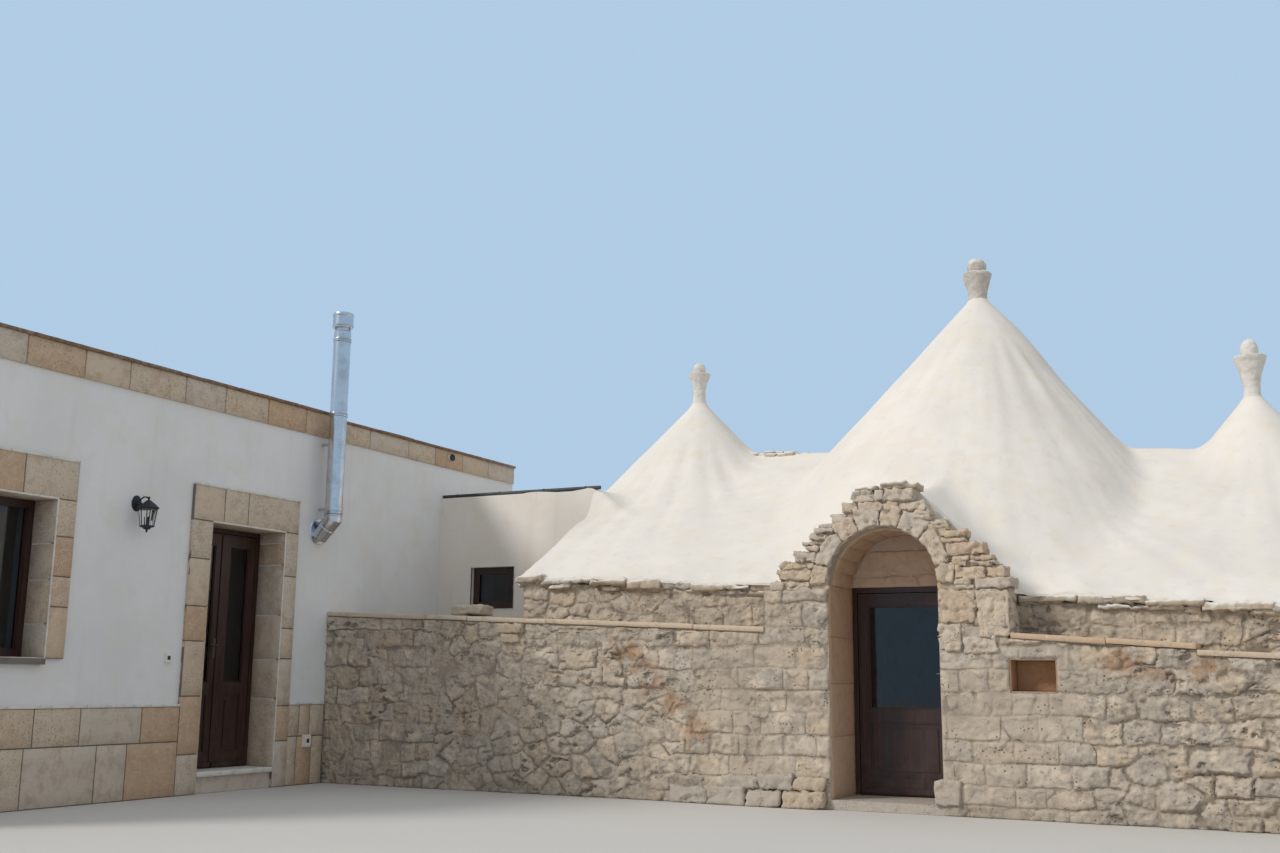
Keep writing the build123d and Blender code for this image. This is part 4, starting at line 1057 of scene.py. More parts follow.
class Patches:
    """Wall faces as grids, ready for the rubble relief."""

    def __init__(self, seed=0.0):
        self.seed = seed
        self.verts, self.faces = [], []
        self.lay, self.out, self.edge, self.front = [], [], [], []

    def add(self, path, levels, cell, soft="lrbt", depth=0.02, start=0.0, hole=None):
        """path is plan points with their outward normals. levels gives, for a place along it, the heights
        between which the wall is divided into bands. soft names the borders where the relief dies away:
        left, right, bottom, top. hole is the band and the run along the path that stay open."""
        run = run_along(path, start)
        heights = [levels(at) for at in run]
        count, bands = len(path), len(heights[0]) - 1
        rows = [max(1, round(max(h[k + 1] - h[k] for h in heights) / cell)) for k in range(bands)]
        marks = [sum(rows[:k]) for k in range(bands + 1)]
        tall = marks[-1]
        base = len(self.verts)
        for at, ((px, py), normal), h in zip(run, path, heights):
            zs = [h[k] + (h[k + 1] - h[k]) * j / rows[k] for k in range(bands) for j in range(rows[k])]
            for z in zs + [h[-1]]:
                ends = {"l": at - run[0], "r": run[-1] - at, "b": z - h[0], "t": h[-1] - z}
                reach = [9.0] + [ends[border] for border in soft]
                if hole:
                    reach.append(max(hole[1] - at, at - hole[2], h[hole[0]] - z, z - h[hole[0] + 1]))
                near = min(1.0, max(0.0, min(reach)) / 0.03)
                self.point((px, py, z), (at, z, self.seed), (*normal, 0.0), sqrt(near * (2 - near)), 1.0)
        back = len(self.verts)
        for at, ((px, py), (nx, ny)), h in zip(run, path, heights):
            for z in h:
                self.point((px - nx * depth, py - ny * depth, z), (at, z, self.seed), (0.0, 0.0, 0.0), 0.0,
                           0.0)

        def front(i, j):
            return base + i * (tall + 1) + j

        def rear(i, k):
            return back + i * (bands + 1) + k

        def is_open(i, k):
            return (hole is not None and k == hole[0] and 0 <= i < count - 1
                    and run[i] > hole[1] - 1e-4 and run[i + 1] < hole[2] + 1e-4)
        for i in range(count - 1):
            for k in range(bands):
                if is_open(i, k):
                    for level in (k, k + 1):
                        j = marks[level]
                        self.faces.append((front(i, j), front(i + 1, j), rear(i + 1, level), rear(i, level)))
                    for side, beside in ((i, i - 1), (i + 1, i + 1)):
                        if not is_open(beside, k):
                            self.faces.append((*(front(side, j) for j in range(marks[k], marks[k + 1] + 1)),
                                    rear(side, k + 1), rear(side, k)))
                    continue
                for j in range(marks[k], marks[k + 1]):
                    self.faces.append((front(i, j), front(i + 1, j), front(i + 1, j + 1), front(i, j + 1)))
                self.faces.append((rear(i, k), rear(i, k + 1), rear(i + 1, k + 1), rear(i + 1, k)))
            self.faces += [(front(i, 0), rear(i, 0), rear(i + 1, 0), front(i + 1, 0)),
                    (front(i, tall), front(i + 1, tall), rear(i + 1, bands), rear(i, bands))]
        for i in (0, count - 1):
            self.faces.append((*(front(i, j) for j in range(tall + 1)),
                    *(rear(i, k) for k in range(bands, -1, -1))))

    def point(self, place, lay, out, edge, front):
        for values, value in ((self.verts, place), (self.lay, lay), (self.out, out), (self.edge, edge),
                (self.front, front)):
            values.append(value)

    def build(self, name):
        """Lifts the stones out of the grids."""
        s = sizes()
        obj = add_object(name, self.verts, self.faces)
        ease(obj)
        for key, kind, field in (("lay", "FLOAT_VECTOR", "vector"), ("out", "FLOAT_VECTOR", "vector"),
                ("edge", "FLOAT", "value"), ("front", "FLOAT", "value")):
            layer = obj.data.attributes.new(key, kind, "POINT")
            layer.data.foreach_set(field, np.array(getattr(self, key), np.float32).ravel())
        run_nodes(obj, TREES["rubble"], Stone_Length=s.stone_length, Stone_Height=s.stone_height,
                  Joint=s.joint, Relief=s.relief, Material=FINISHES["masonry"])
        for key in ("out", "edge", "front"):
            obj.data.attributes.remove(obj.data.attributes[key])
        settle(obj)


def run_along(path, start):
    """Distance along a path at each of its points."""
    run = [start]
    for (p, _), (q, _) in zip(path, path[1:]):
        run.append(run[-1] + dist(p, q))
    return run


def straight(x0, y0, x1, y1, cell):
    """Plan path along a straight wall, its outside on the right-hand side of travel."""
    run = hypot(x1 - x0, y1 - y0)
    count = max(2, round(run / cell))
    normal = ((y1 - y0) / run, -(x1 - x0) / run)
    return [((x0 + (x1 - x0) * i / count, y0 + (y1 - y0) * i / count), normal) for i in range(count + 1)]


def curved(axis, radius, a0, a1, cell):
    """Plan path round a cone's foot, anticlockwise."""
    count = max(3, round(abs(a1 - a0) * radius / cell))
    turns = [a0 + (a1 - a0) * i / count for i in range(count + 1)]
    return [((axis + radius * cos(a), radius * sin(a)), (cos(a), sin(a))) for a in turns]


def between(x0, x1, z0, z1):
    """Height that runs in a straight line from z0 at x0 to z1 at x1."""
    return lambda s: z0 + (z1 - z0) * (s - x0) / (x1 - x0)


def chained(*paths):
    """One path from several that meet end to end."""
    return paths[0] + [point for path in paths[1:] for point in path[1:]]


def build_rubble():
    """Rubble faces of the low walls, the portal's piers and the drum wall."""
    fine, plain = sizes().front_cell, sizes().back_cell
    left = Patches()
    low_wall = between(WING_X, PIER_LEFT, *LOW_LEFT)
    left.add(chained(straight(WING_X, FORE_Y, PIER_LEFT, FORE_Y, fine),
                     straight(PIER_LEFT, FORE_Y, DOOR_X - DOOR_HALF + 0.004, FORE_Y, fine)),
             lambda at: (0.0, 1.48, low_wall(at) if at < PIER_LEFT - 1e-4 else 1.86), fine, "rt",
             start=WING_X)
    left.build("rubble_left_low_wall")
    right = Patches()
    door1 = DOOR_X + DOOR_HALF
    x0, x1, z0, z1 = NICHE
    slope = between(PIER_RIGHT, LOW_STEP, *LOW_RIGHT[:2])
    far_slope = between(LOW_STEP, LOW_END, *LOW_RIGHT[2:])

    def levels(at):
        top = 1.84 if at < x0 - 1e-4 else slope(at) if at < LOW_STEP - 1e-4 else far_slope(at)
        return 0.0, min(z0, 0.72 * top), min(z1, 0.92 * top), min(1.4, top - 0.01), top
    right.add(chained(*(straight(a, FORE_Y, b, FORE_Y, fine) for a, b in
                        ((door1 - 0.004, x0), (x0, x1), (x1, LOW_STEP), (LOW_STEP, LOW_END)))),
              levels, fine, "lt", start=door1 - 0.004, hole=(1, x0, x1))
    right.add(straight(PIER_RIGHT, FORE_Y, PIER_RIGHT, FRONT_Y, fine), lambda at: (1.36, 1.84), fine, "l")
    right.build("rubble_right_low_wall")
    drum = Patches(3.0)
    drum.add(straight(DRUM_LEFT, FRONT_Y, PIER_LEFT, FRONT_Y, fine), lambda at: (1.44, eave_level(at) - 0.05),
             fine, "", start=DRUM_LEFT)
    drum.add(straight(PIER_RIGHT, FRONT_Y, FRONT_RIGHT, FRONT_Y, fine),
             lambda at: (1.16, eave_level(at) - 0.05), fine, "r", start=PIER_RIGHT)
    drum.add(straight(DRUM_LEFT, BLOCK_Y, DRUM_LEFT, FRONT_Y, plain), lambda at: (1.44, 2.0), plain, "",
             start=10.0)
    drum.build("rubble_drum_wall")
    rear = Patches(5.0)
    main, lft, rgt = AXES.values()
    tangent_r, tangent_l = tangents()

    def on_cone(cone, angle):
        return cone[0] + cone[1] * cos(angle), cone[1] * sin(angle)
    path = chained(straight(FRONT_RIGHT, FRONT_Y, FRONT_RIGHT, -1.742, plain),
            curved(rgt[0], rgt[1], -tangent_r, tangent_r, plain),
            straight(*on_cone(rgt, tangent_r), *on_cone(main, tangent_r), plain),
            curved(main[0], main[1], tangent_r, tangent_l, plain),
            straight(*on_cone(main, tangent_l), *on_cone(lft, tangent_l), plain),
            curved(lft[0], lft[1], tangent_l, pi - asin(BLOCK_BACK / lft[1]), plain))
    ends = run_along(path, 20.0)
    xs = [p[0] for p, _ in path]
    rear.add(path, lambda at: (0.0, eave_level(float(np.interp(at, ends, xs)))), plain, "", start=20.0)
    rear.add(straight(LOW_END, FORE_Y, LOW_END, -1.15, plain), lambda at: (0.0, 1.18), plain, "t", start=60.0)
    rear.add(straight(LOW_END, -1.15, 4.62, -1.15, plain), lambda at: (0.0, 1.18), plain, "t", start=64.0)
    rear.build("rubble_rear_walls")


# ---------------------------------------------------------------- portal

LEFT_STEPS = ((-0.46, 2.515, 2.605), (-0.57, 2.435, 2.51), (-0.71, 2.355, 2.43), (-0.76, 2.285, 2.35),
        (-0.82, 2.195, 2.28), (-0.89, 2.105, 2.19), (-1.04, 2.04, 2.1), (-1.05, 1.935, 2.035),
        (-1.13, 1.845, 1.93))
RIGHT_STEPS = ((0.29, 2.515, 2.59), (0.36, 2.43, 2.51), (0.5, 2.33, 2.425), (0.65, 2.225, 2.325),
        (0.77, 2.115, 2.22), (0.86, 2.025, 2.11), (0.94, 1.925, 2.02), (0.99, 1.835, 1.92))
RING_OUT = 0.66


def build_portal():
    """Voussoirs, stepped gable slabs and cap, over a core of mortar, and rough foot stones along the wall's
    foot by the portal.
    """
    face, back = FORE_Y - 0.018, FORE_Y + 0.18
    stones = Blocks(7, 0.016)
    rng = stones.rng
    marks = [0.0]
    for share in (0.8, 1.7, 1.25, 0.9, 1.15, 1.0, 1.6, 0.9):
        marks.append(marks[-1] + share)
    for m0, m1 in zip(marks, marks[1:]):
        a0, a1 = pi * m0 / marks[-1] + 0.006, pi * m1 / marks[-1] - 0.006
        y = face - rng.uniform(0.0, 0.02)
        inner = DOOR_HALF + rng.uniform(0.002, 0.016)
        outer = [RING_OUT + rng.uniform(-0.055, 0.04) for _ in range(2)]

        def bent(u, v, w, a0=a0, a1=a1, y=y, inner=inner, outer=outer):
            a = a1 + (a0 - a1) * u
            r = inner + (outer[0] + (outer[1] - outer[0]) * u - inner) * v
            return DOOR_X + r * cos(a), y + w * 0.09, ARCH_Z + r * sin(a)
        stones.add([bent(u, v, w) for w in (0, 1) for u, v in ((0, 0), (1, 0), (1, 1), (0, 1))], None, bent)
    for side, steps in ((-1, LEFT_STEPS), (1, RIGHT_STEPS)):
        for x_out, z0, z1 in steps:
            mid = (z0 + z1) / 2 - ARCH_Z
            x_in = DOOR_X + side * sqrt(max(RING_OUT ** 2 - mid ** 2, 0.0)) - side * 0.02
            if (x_out - x_in) * side < 0.1:
                x_in = x_out - side * 0.14
            y = face - rng.uniform(-0.012, 0.02)
            low, high = sorted((x_in, x_out))
            for a, b in stones.cuts(low, high, 0.21, 0.35):
                layers = [(z0, z1)]
                if z1 - z0 > 0.075 and rng.random() < 0.55:
                    middle = z0 + (z1 - z0) * rng.uniform(0.4, 0.6)
                    layers = [(z0, middle), (middle, z1)]
                for q0, q1 in layers:
                    tuck = rng.uniform(0.0, 0.035) if len(layers) > 1 else 0.0
                    stones.box(a + (tuck if side < 0 else 0) + 0.001, b - (tuck if side > 0 else 0) - 0.001,
                               y + rng.uniform(-0.014, 0.014), back, q0, q1, skew=0.01)
    for a, b in ((-0.355, -0.165), (-0.158, -0.075), (-0.068, 0.185)):
        stones.box(a, b, face - rng.uniform(0.0, 0.02), back, 2.6, 2.702, skew=0.008)
    for x0, x1, z0, z1 in ((0.385, 0.69, 1.565, 1.825), (0.7, 0.955, 1.435, 1.815),
            (0.375, 0.56, 1.335, 1.555), (0.57, 0.85, 1.305, 1.43)):
        stones.box(x0, x1, FORE_Y - rng.uniform(0.03, 0.05), FORE_Y + (0.16 if x1 > 0.9 else 0.04), z0, z1,
                   skew=0.012)
    settle(stones.build("portal_stones", "gable_stone", 1, 0.012, 9.0, 0.012, chips=0.016),
           replaced=("portal_arch",))
    cap = Blocks(8)
    for a, b, low, high in ((-0.345, -0.12, 2.7, 2.742), (-0.125, 0.215, 2.7, 2.752),
            (-0.1, 0.13, 2.742, 2.768)):
        cap.box(a, b, face - cap.rng.uniform(-0.02, 0.012), back + 0.06, low, high, skew=0.01)
    settle(cap.build("portal_cap", "whitened_stone", 1, 0.014, 9.0, 0.01, chips=0.008))
    foot = Blocks(9)
    for a, b, low, high, out in ((-2.1, -1.72, 0.0, 0.14, 0.06), (-1.72, -1.35, 0.0, 0.15, 0.09),
            (-1.35, -1.02, 0.0, 0.14, 0.1), (-1.02, -0.64, 0.0, 0.15, 0.09),
            (-1.62, -1.24, 0.14, 0.25, 0.05), (-1.24, -0.92, 0.15, 0.27, 0.075),
            (-0.92, -0.63, 0.15, 0.26, 0.07)):
        foot.box(a + 0.002, b - 0.002, FORE_Y - out, FORE_Y + 0.05, low, high, skew=0.014)
    settle(foot.build("portal_foot_stones", "foot_stone", 2, 0.02, 7.0, 0.01, chips=0.016))
    inner = DOOR_HALF + 0.005
    outline = [(DOOR_X + inner, 1.84), (0.94, 1.84)]
    for x_out, z0, z1 in reversed(RIGHT_STEPS):
        outline += [(x_out - 0.05, z0), (x_out - 0.05, z1)]
    outline += [(0.15, 2.6), (0.15, 2.69), (-0.31, 2.69), (-0.31, 2.6)]
    for x_out, z0, z1 in LEFT_STEPS:
        outline += [(x_out + 0.05, z1), (x_out + 0.05, z0)]
    outline += [(DOOR_X - inner, 1.855), (DOOR_X - inner, ARCH_Z)]
    outline += [(DOOR_X - inner * cos(a), ARCH_Z + inner * sin(a)) for a in turns(48)[1:24]]
    core = ringed([[(x, FORE_Y + y, z) for x, z in outline] for y in (0.014, 0.175)])
    joined("portal_core", [core], "mortar", sharp=20)


def build_reveal():
    """Smooth cut blocks lining the doorway: jambs, soffit and the stone in front of the right jamb."""
    s = sizes()
    lining = Blocks(11, 0.06)
    y0, y1 = FORE_Y + 0.012, DOOR_Y
    for side in (-1, 1):
        wall = DOOR_X + side * DOOR_HALF
        x0, x1 = sorted((wall - side * s.proud, wall + side * 0.03))
        z = FLOOR_Z
        for k, height in enumerate((0.52, 0.45, 0.4, 0.445)):
            lining.box(x0, x1, y0, y1 - 0.001, z, z + height - 0.003, 0.45 + 0.1 * k)
            z += height
    arc = pi / 12
    for k in range(12):
        ring = []
        for depth in (FORE_Y + 0.14, y1 - 0.001):
            for r, a in ((DOOR_HALF - s.proud, (k + 1) * arc), (DOOR_HALF - s.proud, k * arc),
                    (DOOR_HALF + 0.03, k * arc), (DOOR_HALF + 0.03, (k + 1) * arc)):
                ring.append((DOOR_X + r * cos(a), depth, ARCH_Z + r * sin(a)))
        lining.add(ring, 0.42 + 0.1 * (k // 4))
    settle(lining.build("doorway_lining", "reveal_stone", 0, 0.003, 5.0, 0.0015, 0.003))
    loose = Blocks(12)
    loose.box(DOOR_X + DOOR_HALF - 0.075, DOOR_X + DOOR_HALF + 0.14, FORE_Y - 0.035, FORE_Y + 0.16, FLOOR_Z,
              FLOOR_Z + 0.2, 0.2, 0.006)
    loose.box(-4.57, -4.2, FORE_Y + 0.02, FORE_Y + 0.24, 1.69, 1.785, 0.3, 0.012)
    loose.box(-3.98, -3.69, FORE_Y - 0.055, FORE_Y + 0.05, 1.5, 1.595, 0.8, 0.006)
    loose.box(-3.94, -3.73, FORE_Y - 0.045, FORE_Y + 0.05, 1.41, 1.505, 0.7, 0.006)
    settle(loose.build("loose_stones", "foot_stone", 1, 0.014, 8.0, 0.009, chips=0.012))
    tympanum = Blocks(13)
    y = DOOR_Y - s.proud
    for x0, x1, z0, z1 in ((-0.6, 0.02, 1.912, 2.01), (0.024, 0.37, 1.912, 2.024),
            (-0.6, 0.37, 2.024, 2.38)):
        ring = []
        for depth in (y, DOOR_Y + 0.02):
            for x, z in ((x0, z0), (x1, z0), (x1, z1), (x0, z1)):
                dx = x - DOOR_X
                limit = DOOR_HALF - 0.002
                rise = sqrt(max(limit ** 2 - dx ** 2, 0.0))
                if z > ARCH_Z + rise:
                    scale = limit / hypot(dx, z - ARCH_Z)
                    x, z = DOOR_X + dx * scale, ARCH_Z + (z - ARCH_Z) * scale
                ring.append((x, depth, z))
        tympanum.add(ring, 0.3)
    settle(tympanum.build("tympanum_blocks", "reveal_stone", 1, 0.008, 6.0, 0.005, chips=0.006))
    niche = Blocks(14, 0.03)
    x0, x1, z0, z1 = NICHE
    y0, y1 = FORE_Y + 0.004, FORE_Y + 0.258
    niche.box(x0, x1, y1 - 0.012, y1, z0, z1, 0.9)
    niche.box(x0, x0 + 0.01, y0, y1, z0, z1, 0.8)
    niche.box(x1 - 0.01, x1, y0, y1, z0, z1, 0.7)
    niche.box(x0, x1, y0, y1, z0, z0 + 0.01, 0.5)
    niche.box(x0, x1, y0, y1, z1 - 0.01, z1, 0.4)
    settle(niche.build("niche_lining", "orange_stone", 0, 0.003, 9.0, 0.002))


# ---------------------------------------------------------------- slabs

def build_slabs():
    """Rough eave slabs with limewash run over them, and the thin copings of the low walls."""
    eaves = Blocks(21)
    rng = eaves.rng
    for x0, x1 in ((DRUM_LEFT - 0.055, PIER_LEFT), (PIER_RIGHT + 0.035, FRONT_RIGHT + 0.055)):
        for mean, reach, drop in ((0.42, 0.115, 0.0), (0.3, 0.07, 0.062)):
            for a, b in eaves.cuts(x0, x1, mean, 0.38):
                if drop and rng.random() < 0.4:
                    continue
                top = eave_level((a + b) / 2) - drop + rng.uniform(0.002, 0.014)
                out = reach * rng.uniform(0.45, 1.0)
                thick = rng.uniform(0.052, 0.08) if not drop else rng.uniform(0.03, 0.05)
                eaves.box(a - 0.008, b + 0.008, FRONT_Y - out, FRONT_Y + 0.16, top - thick, top, skew=0.018)
    settle(eaves.build("eave_stones", "whitened_stone", 1, 0.018, 7.5, 0.01, chips=0.012),
           replaced=("eave_slabs",))
    copings = Blocks(22, 0.026)
    runs = ((WING_X, PIER_LEFT, LOW_LEFT, 0.95), (PIER_RIGHT + 0.03, LOW_STEP, LOW_RIGHT[:2], 0.75),
            (LOW_STEP, LOW_END, LOW_RIGHT[2:], 0.8))
    for x0, x1, (z0, z1), mean in runs:
        low = between(x0 if x0 != PIER_RIGHT + 0.03 else PIER_RIGHT, x1, z0, z1)
        for a, b in copings.cuts(x0, x1, mean, 0.3):
            out = 0.04 - copings.rng.uniform(0.0, 0.012)
            lift = copings.rng.uniform(-0.003, 0.004)
            x_a, x_b, y_a, y_b = a + 0.003, b - 0.003, FORE_Y - out, FRONT_Y - 0.001
            ring = ((x_a, y_a), (x_b, y_a), (x_b, y_b), (x_a, y_b))
            # painted sunlight: copings right of the portal are shifted to the warmer, oranger tone
            tint = copings.rng.uniform(0.3, 0.65) + (0.25 if x0 > 0 else 0.0)
            copings.add([(x, y, low(x) + z + lift) for z in (0.0, COPING_T) for x, y in ring], tint)
    settle(copings.build("coping_slabs", "coping_stone", 0, 0.005, 3.0, 0.003, 0.004),
           replaced=("low_wall_copings",))


# ---------------------------------------------------------------- dressed blocks of the wing

def build_surrounds():
    """Sandy blocks round the wing's door and window, in their reveals, and the plinth."""
    s = sizes()
    gap, proud = s.block_joint, s.proud
    blocks = Blocks(31, 0.12)
    x0, x1 = WING_X - 0.01, BAND_X + proud
    door0, door1, head = WING_DOOR
    win0, win1, sill = WING_WINDOW
    far_side = 0.19

    def jamb(y0, y1, z, heights):
        """Blocks on the facade beside an opening."""
        k = 0
        while z < head - 0.05:
            top = min(head, z + heights[k % len(heights)])
            if head - top < 0.12:
                top = head
            blocks.box(x0, x1, y0, y1, z + gap / 2, top - gap / 2)
            z, k = top, k + 1

    def reveal(y, side, z, deep, heights):
        """Blocks on the cheek of an opening."""
        low, high = sorted((y - side * proud, y + side * 0.012))
        for k in range(20):
            top = min(head, z + heights[k % len(heights)])
            blocks.box(WING_X - deep, x1 - 0.004, low, high, z + gap / 2, top - gap / 2)
            z = top
            if z >= head - 0.01:
                break

    # per opening: its sides, the near surround's width, foot of surround and cheek, depth, joints over
    # the head, heights of the blocks near and far, and of those on the near and the far cheek
    for y0, y1, near_side, foot, inner_foot, deep, joints, near, far, near_in, far_in in (
            (door0, door1, 0.25, 0.0, 0.19, DEEP_DOOR, (0.14, 0.46), (0.36, 0.52, 0.5, 0.32, 0.44, 0.36),
             (0.44, 0.34, 0.46, 0.3, 0.52), (0.42, 0.5, 0.36, 0.48, 0.6),
             (0.66, 0.38, 0.44, 0.5, 0.22, 0.3)),
            (win0, win1, 0.19, sill, sill, DEEP_WINDOW, (0.3, 0.72), (0.3, 0.36, 0.28, 0.37),
             (0.42, 0.25, 0.33, 0.31), (0.33, 0.3, 0.36, 0.32), (0.28, 0.36, 0.3, 0.37))):
        jamb(y0 - near_side, y0, foot, near)
        jamb(y1, y1 + far_side, foot, far)
        marks = (y0 - near_side, y0 + joints[0], y0 + joints[1], y1 + far_side)
        for a, b in zip(marks, marks[1:]):
            blocks.box(x0, x1, a + gap / 2, b - gap / 2, head + gap / 2, BAND_TOP)
        reveal(y0, -1, inner_foot, deep, near_in)
        reveal(y1, 1, inner_foot, deep, far_in)
        blocks.row((WING_X - deep, x1 - 0.004), (y0, y1), (head - proud, head + 0.012), 0.5, gap=gap)
    plinth_x = WING_X + 0.025 + proud
    plinths = ((WING_NEAR, door0 - 0.25), (door1 + far_side, FORE_Y - 0.045))
    for run, mean in zip(plinths, (0.52, 0.19)):
        for z0, z1 in ((0.0, 0.478), (0.478, 0.79)):
            blocks.row((x0, plinth_x), run, (z0 + gap / 2, z1 - gap / 2), mean, 0.3, gap)
    settle(blocks.build("sandstone_blocks", "sandstone", 0, 0.0025, 7.0, 0.0016, 0.004))
    caps = Blocks(33, 0.1)
    for run in plinths:
        caps.row((x0, plinth_x + 0.006), run, (0.788, 0.812), 0.36, 0.2, tint=0.1)
    for run in ((door0 - 0.25, door1 + far_side), (win0 - 0.19, win1 + far_side)):
        caps.row((x0, x1 + 0.007), run, (BAND_TOP - 0.004, BAND_TOP + 0.016), 0.33, 0.2, tint=0.1)
    for low, edge in ((0.19, door1), (sill, win1)):
        caps.box(x1 - 0.006, x1 + 0.0015, edge - 0.008, edge + 0.008, low, head, 0.1)
    for y0, y1 in ((door0, door1), (win0, win1)):
        caps.box(x1 - 0.006, x1 + 0.0015, y0, y1, head - 0.007, head + 0.008, 0.1)
    settle(caps.build("pale_edge_strips", "pale_strip", 0, 0.0015, 7.0, 0.001, 0.0015))
    sills = Blocks(32, 0.06)
    sills.box(WING_X - DEEP_WINDOW, BAND_X + 0.014, win0 - 0.004, win1 + 0.004, sill - 0.022, sill + 0.006,
              0.1)
    sills.box(WING_X - DEEP_DOOR, WING_X + 0.045, door0 + 0.004, door1 - 0.004, 0.15, 0.196, 0.3)
    settle(sills.build("sills", "pale_strip", 0, 0.0015, 6.0, 0.001, 0.005))


def build_parapet():
    """Coping of the wing: a row of sandy blocks under thin dark drip slabs, all the way round."""
    gap = sizes().block_joint
    blocks, drips = Blocks(35, 0.14), Blocks(36, 0.12)
    wall_x, out = WING_X - WING_WALL, 0.025
    for y0, y1, high in ((WING_NEAR, -3.6, 0.279), (-3.6, WING_FAR, 0.237)):
        blocks.row((wall_x, WING_X + out), (y0, y1), (WING_TOP, WING_TOP + high - 0.03), 0.56, 0.12, gap)
        for a, b in drips.cuts(y0, y1, 0.78, 0.2):
            drips.box(wall_x - out, WING_X + out * 2 - drips.rng.uniform(0, 0.012), a + 0.002, b - 0.002,
                      WING_TOP + high - 0.032, WING_TOP + high - drips.rng.uniform(0, 0.004))
    top = WING_TOP + 0.237
    back0, back1 = WING_BACK, WING_BACK + WING_WALL
    for a, b in blocks.cuts(WING_NEAR, WING_FAR, 0.62, 0.12):
        blocks.box(back0 - 0.014, back1, a + gap / 2, b - gap / 2, WING_TOP, top - 0.03)
        drips.box(back0 - 0.022, back1 + 0.02, a + 0.002, b - 0.002, top - 0.032, top)
    for y0, y1 in ((WING_NEAR, WING_NEAR + WING_WALL), (WING_FAR - WING_WALL, WING_FAR)):
        for a, b in blocks.cuts(back1 + 0.02, wall_x - 0.026, 0.6, 0.12):
            blocks.box(a + gap / 2, b - gap / 2, y0, y1, WING_TOP, top - 0.03)
            drips.box(a + 0.002, b - 0.002, y0, y1, top - 0.032, top)
    settle(blocks.build("parapet_blocks", "sandstone", 0, 0.003, 7.0, 0.0018, 0.005),
           replaced=("wing_coping",))
    settle(drips.build("parapet_drips", "lichened_stone", 0, 0.005, 9.0, 0.003, 0.004),
           replaced=("wing_coping",))


# ---------------------------------------------------------------- joinery and fittings

def framed(axis, u0, u1, v0, v1, z0, z1, width):
    """Four strips inside an opening that runs along x or y from u0 to u1; v0 and v1 give their depth."""
    return [cuboid(a, b, v0, v1, c, d) if axis == "x" else cuboid(v0, v1, a, b, c, d) for a, b, c, d in
            ((u0, u1, z0, z0 + width), (u0, u1, z1 - width, z1),
             (u0, u0 + width, z0 + width, z1 - width), (u1 - width, u1, z0 + width, z1 - width))]


def build_trullo_joinery():
    """Beads round the pane and a raised panel in the trullo's door."""
    lo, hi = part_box("trullo_door")
    pane_lo, pane_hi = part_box("trullo_door_glass")
    y, foot, top = lo.y, lo.z + 0.15, pane_lo.z - 0.11
    x0, x1 = pane_lo.x, pane_hi.x
    parts = framed("x", x0, x1, y + 0.006, pane_lo.y, pane_lo.z, pane_hi.z, 0.014)
    parts += framed("x", x0, x1, y + 0.004, y + 0.013, foot, top, 0.016)
    parts += [cuboid(x0 + 0.055, x1 - 0.055, y + 0.003, y + 0.013, foot + 0.055, top - 0.055),
              cuboid(lo.x + 0.004, hi.x - 0.004, y - 0.016, y, lo.z + 0.012, lo.z + 0.062)]
    joined("trullo_door_beads", parts, "wood", "trullo_leaf", bevel=0.003)


def build_wing_joinery():
    """Beads, raised panels and meeting strip of the wing's double door."""
    for side, body in (("left", "wing_left_leaf"), ("right", "wing_right_leaf")):
        lo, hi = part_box("wing_door_" + side)
        pane_lo, pane_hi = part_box("wing_door_glass_" + side)
        x, foot, top = hi.x, lo.z + 0.15, pane_lo.z - 0.11
        y0, y1 = pane_lo.y, pane_hi.y
        parts = framed("y", y0, y1, pane_hi.x, x - 0.006, pane_lo.z, pane_hi.z, 0.013)
        parts += framed("y", y0, y1, x - 0.013, x - 0.004, foot, top, 0.014)
        parts += [cuboid(x - 0.013, x - 0.003, y0 + 0.05, y1 - 0.05, foot + 0.05, top - 0.05),
                  cuboid(x, x + 0.014, lo.y + 0.004, hi.y - 0.004, lo.z + 0.012, lo.z + 0.055)]
        if side == "left":
            parts.append(cuboid(x, x + 0.01, hi.y - 0.022, hi.y + 0.004, lo.z + 0.06, hi.z - 0.01))
        joined("wing_door_beads_" + side, parts, "wood", body, bevel=0.003)


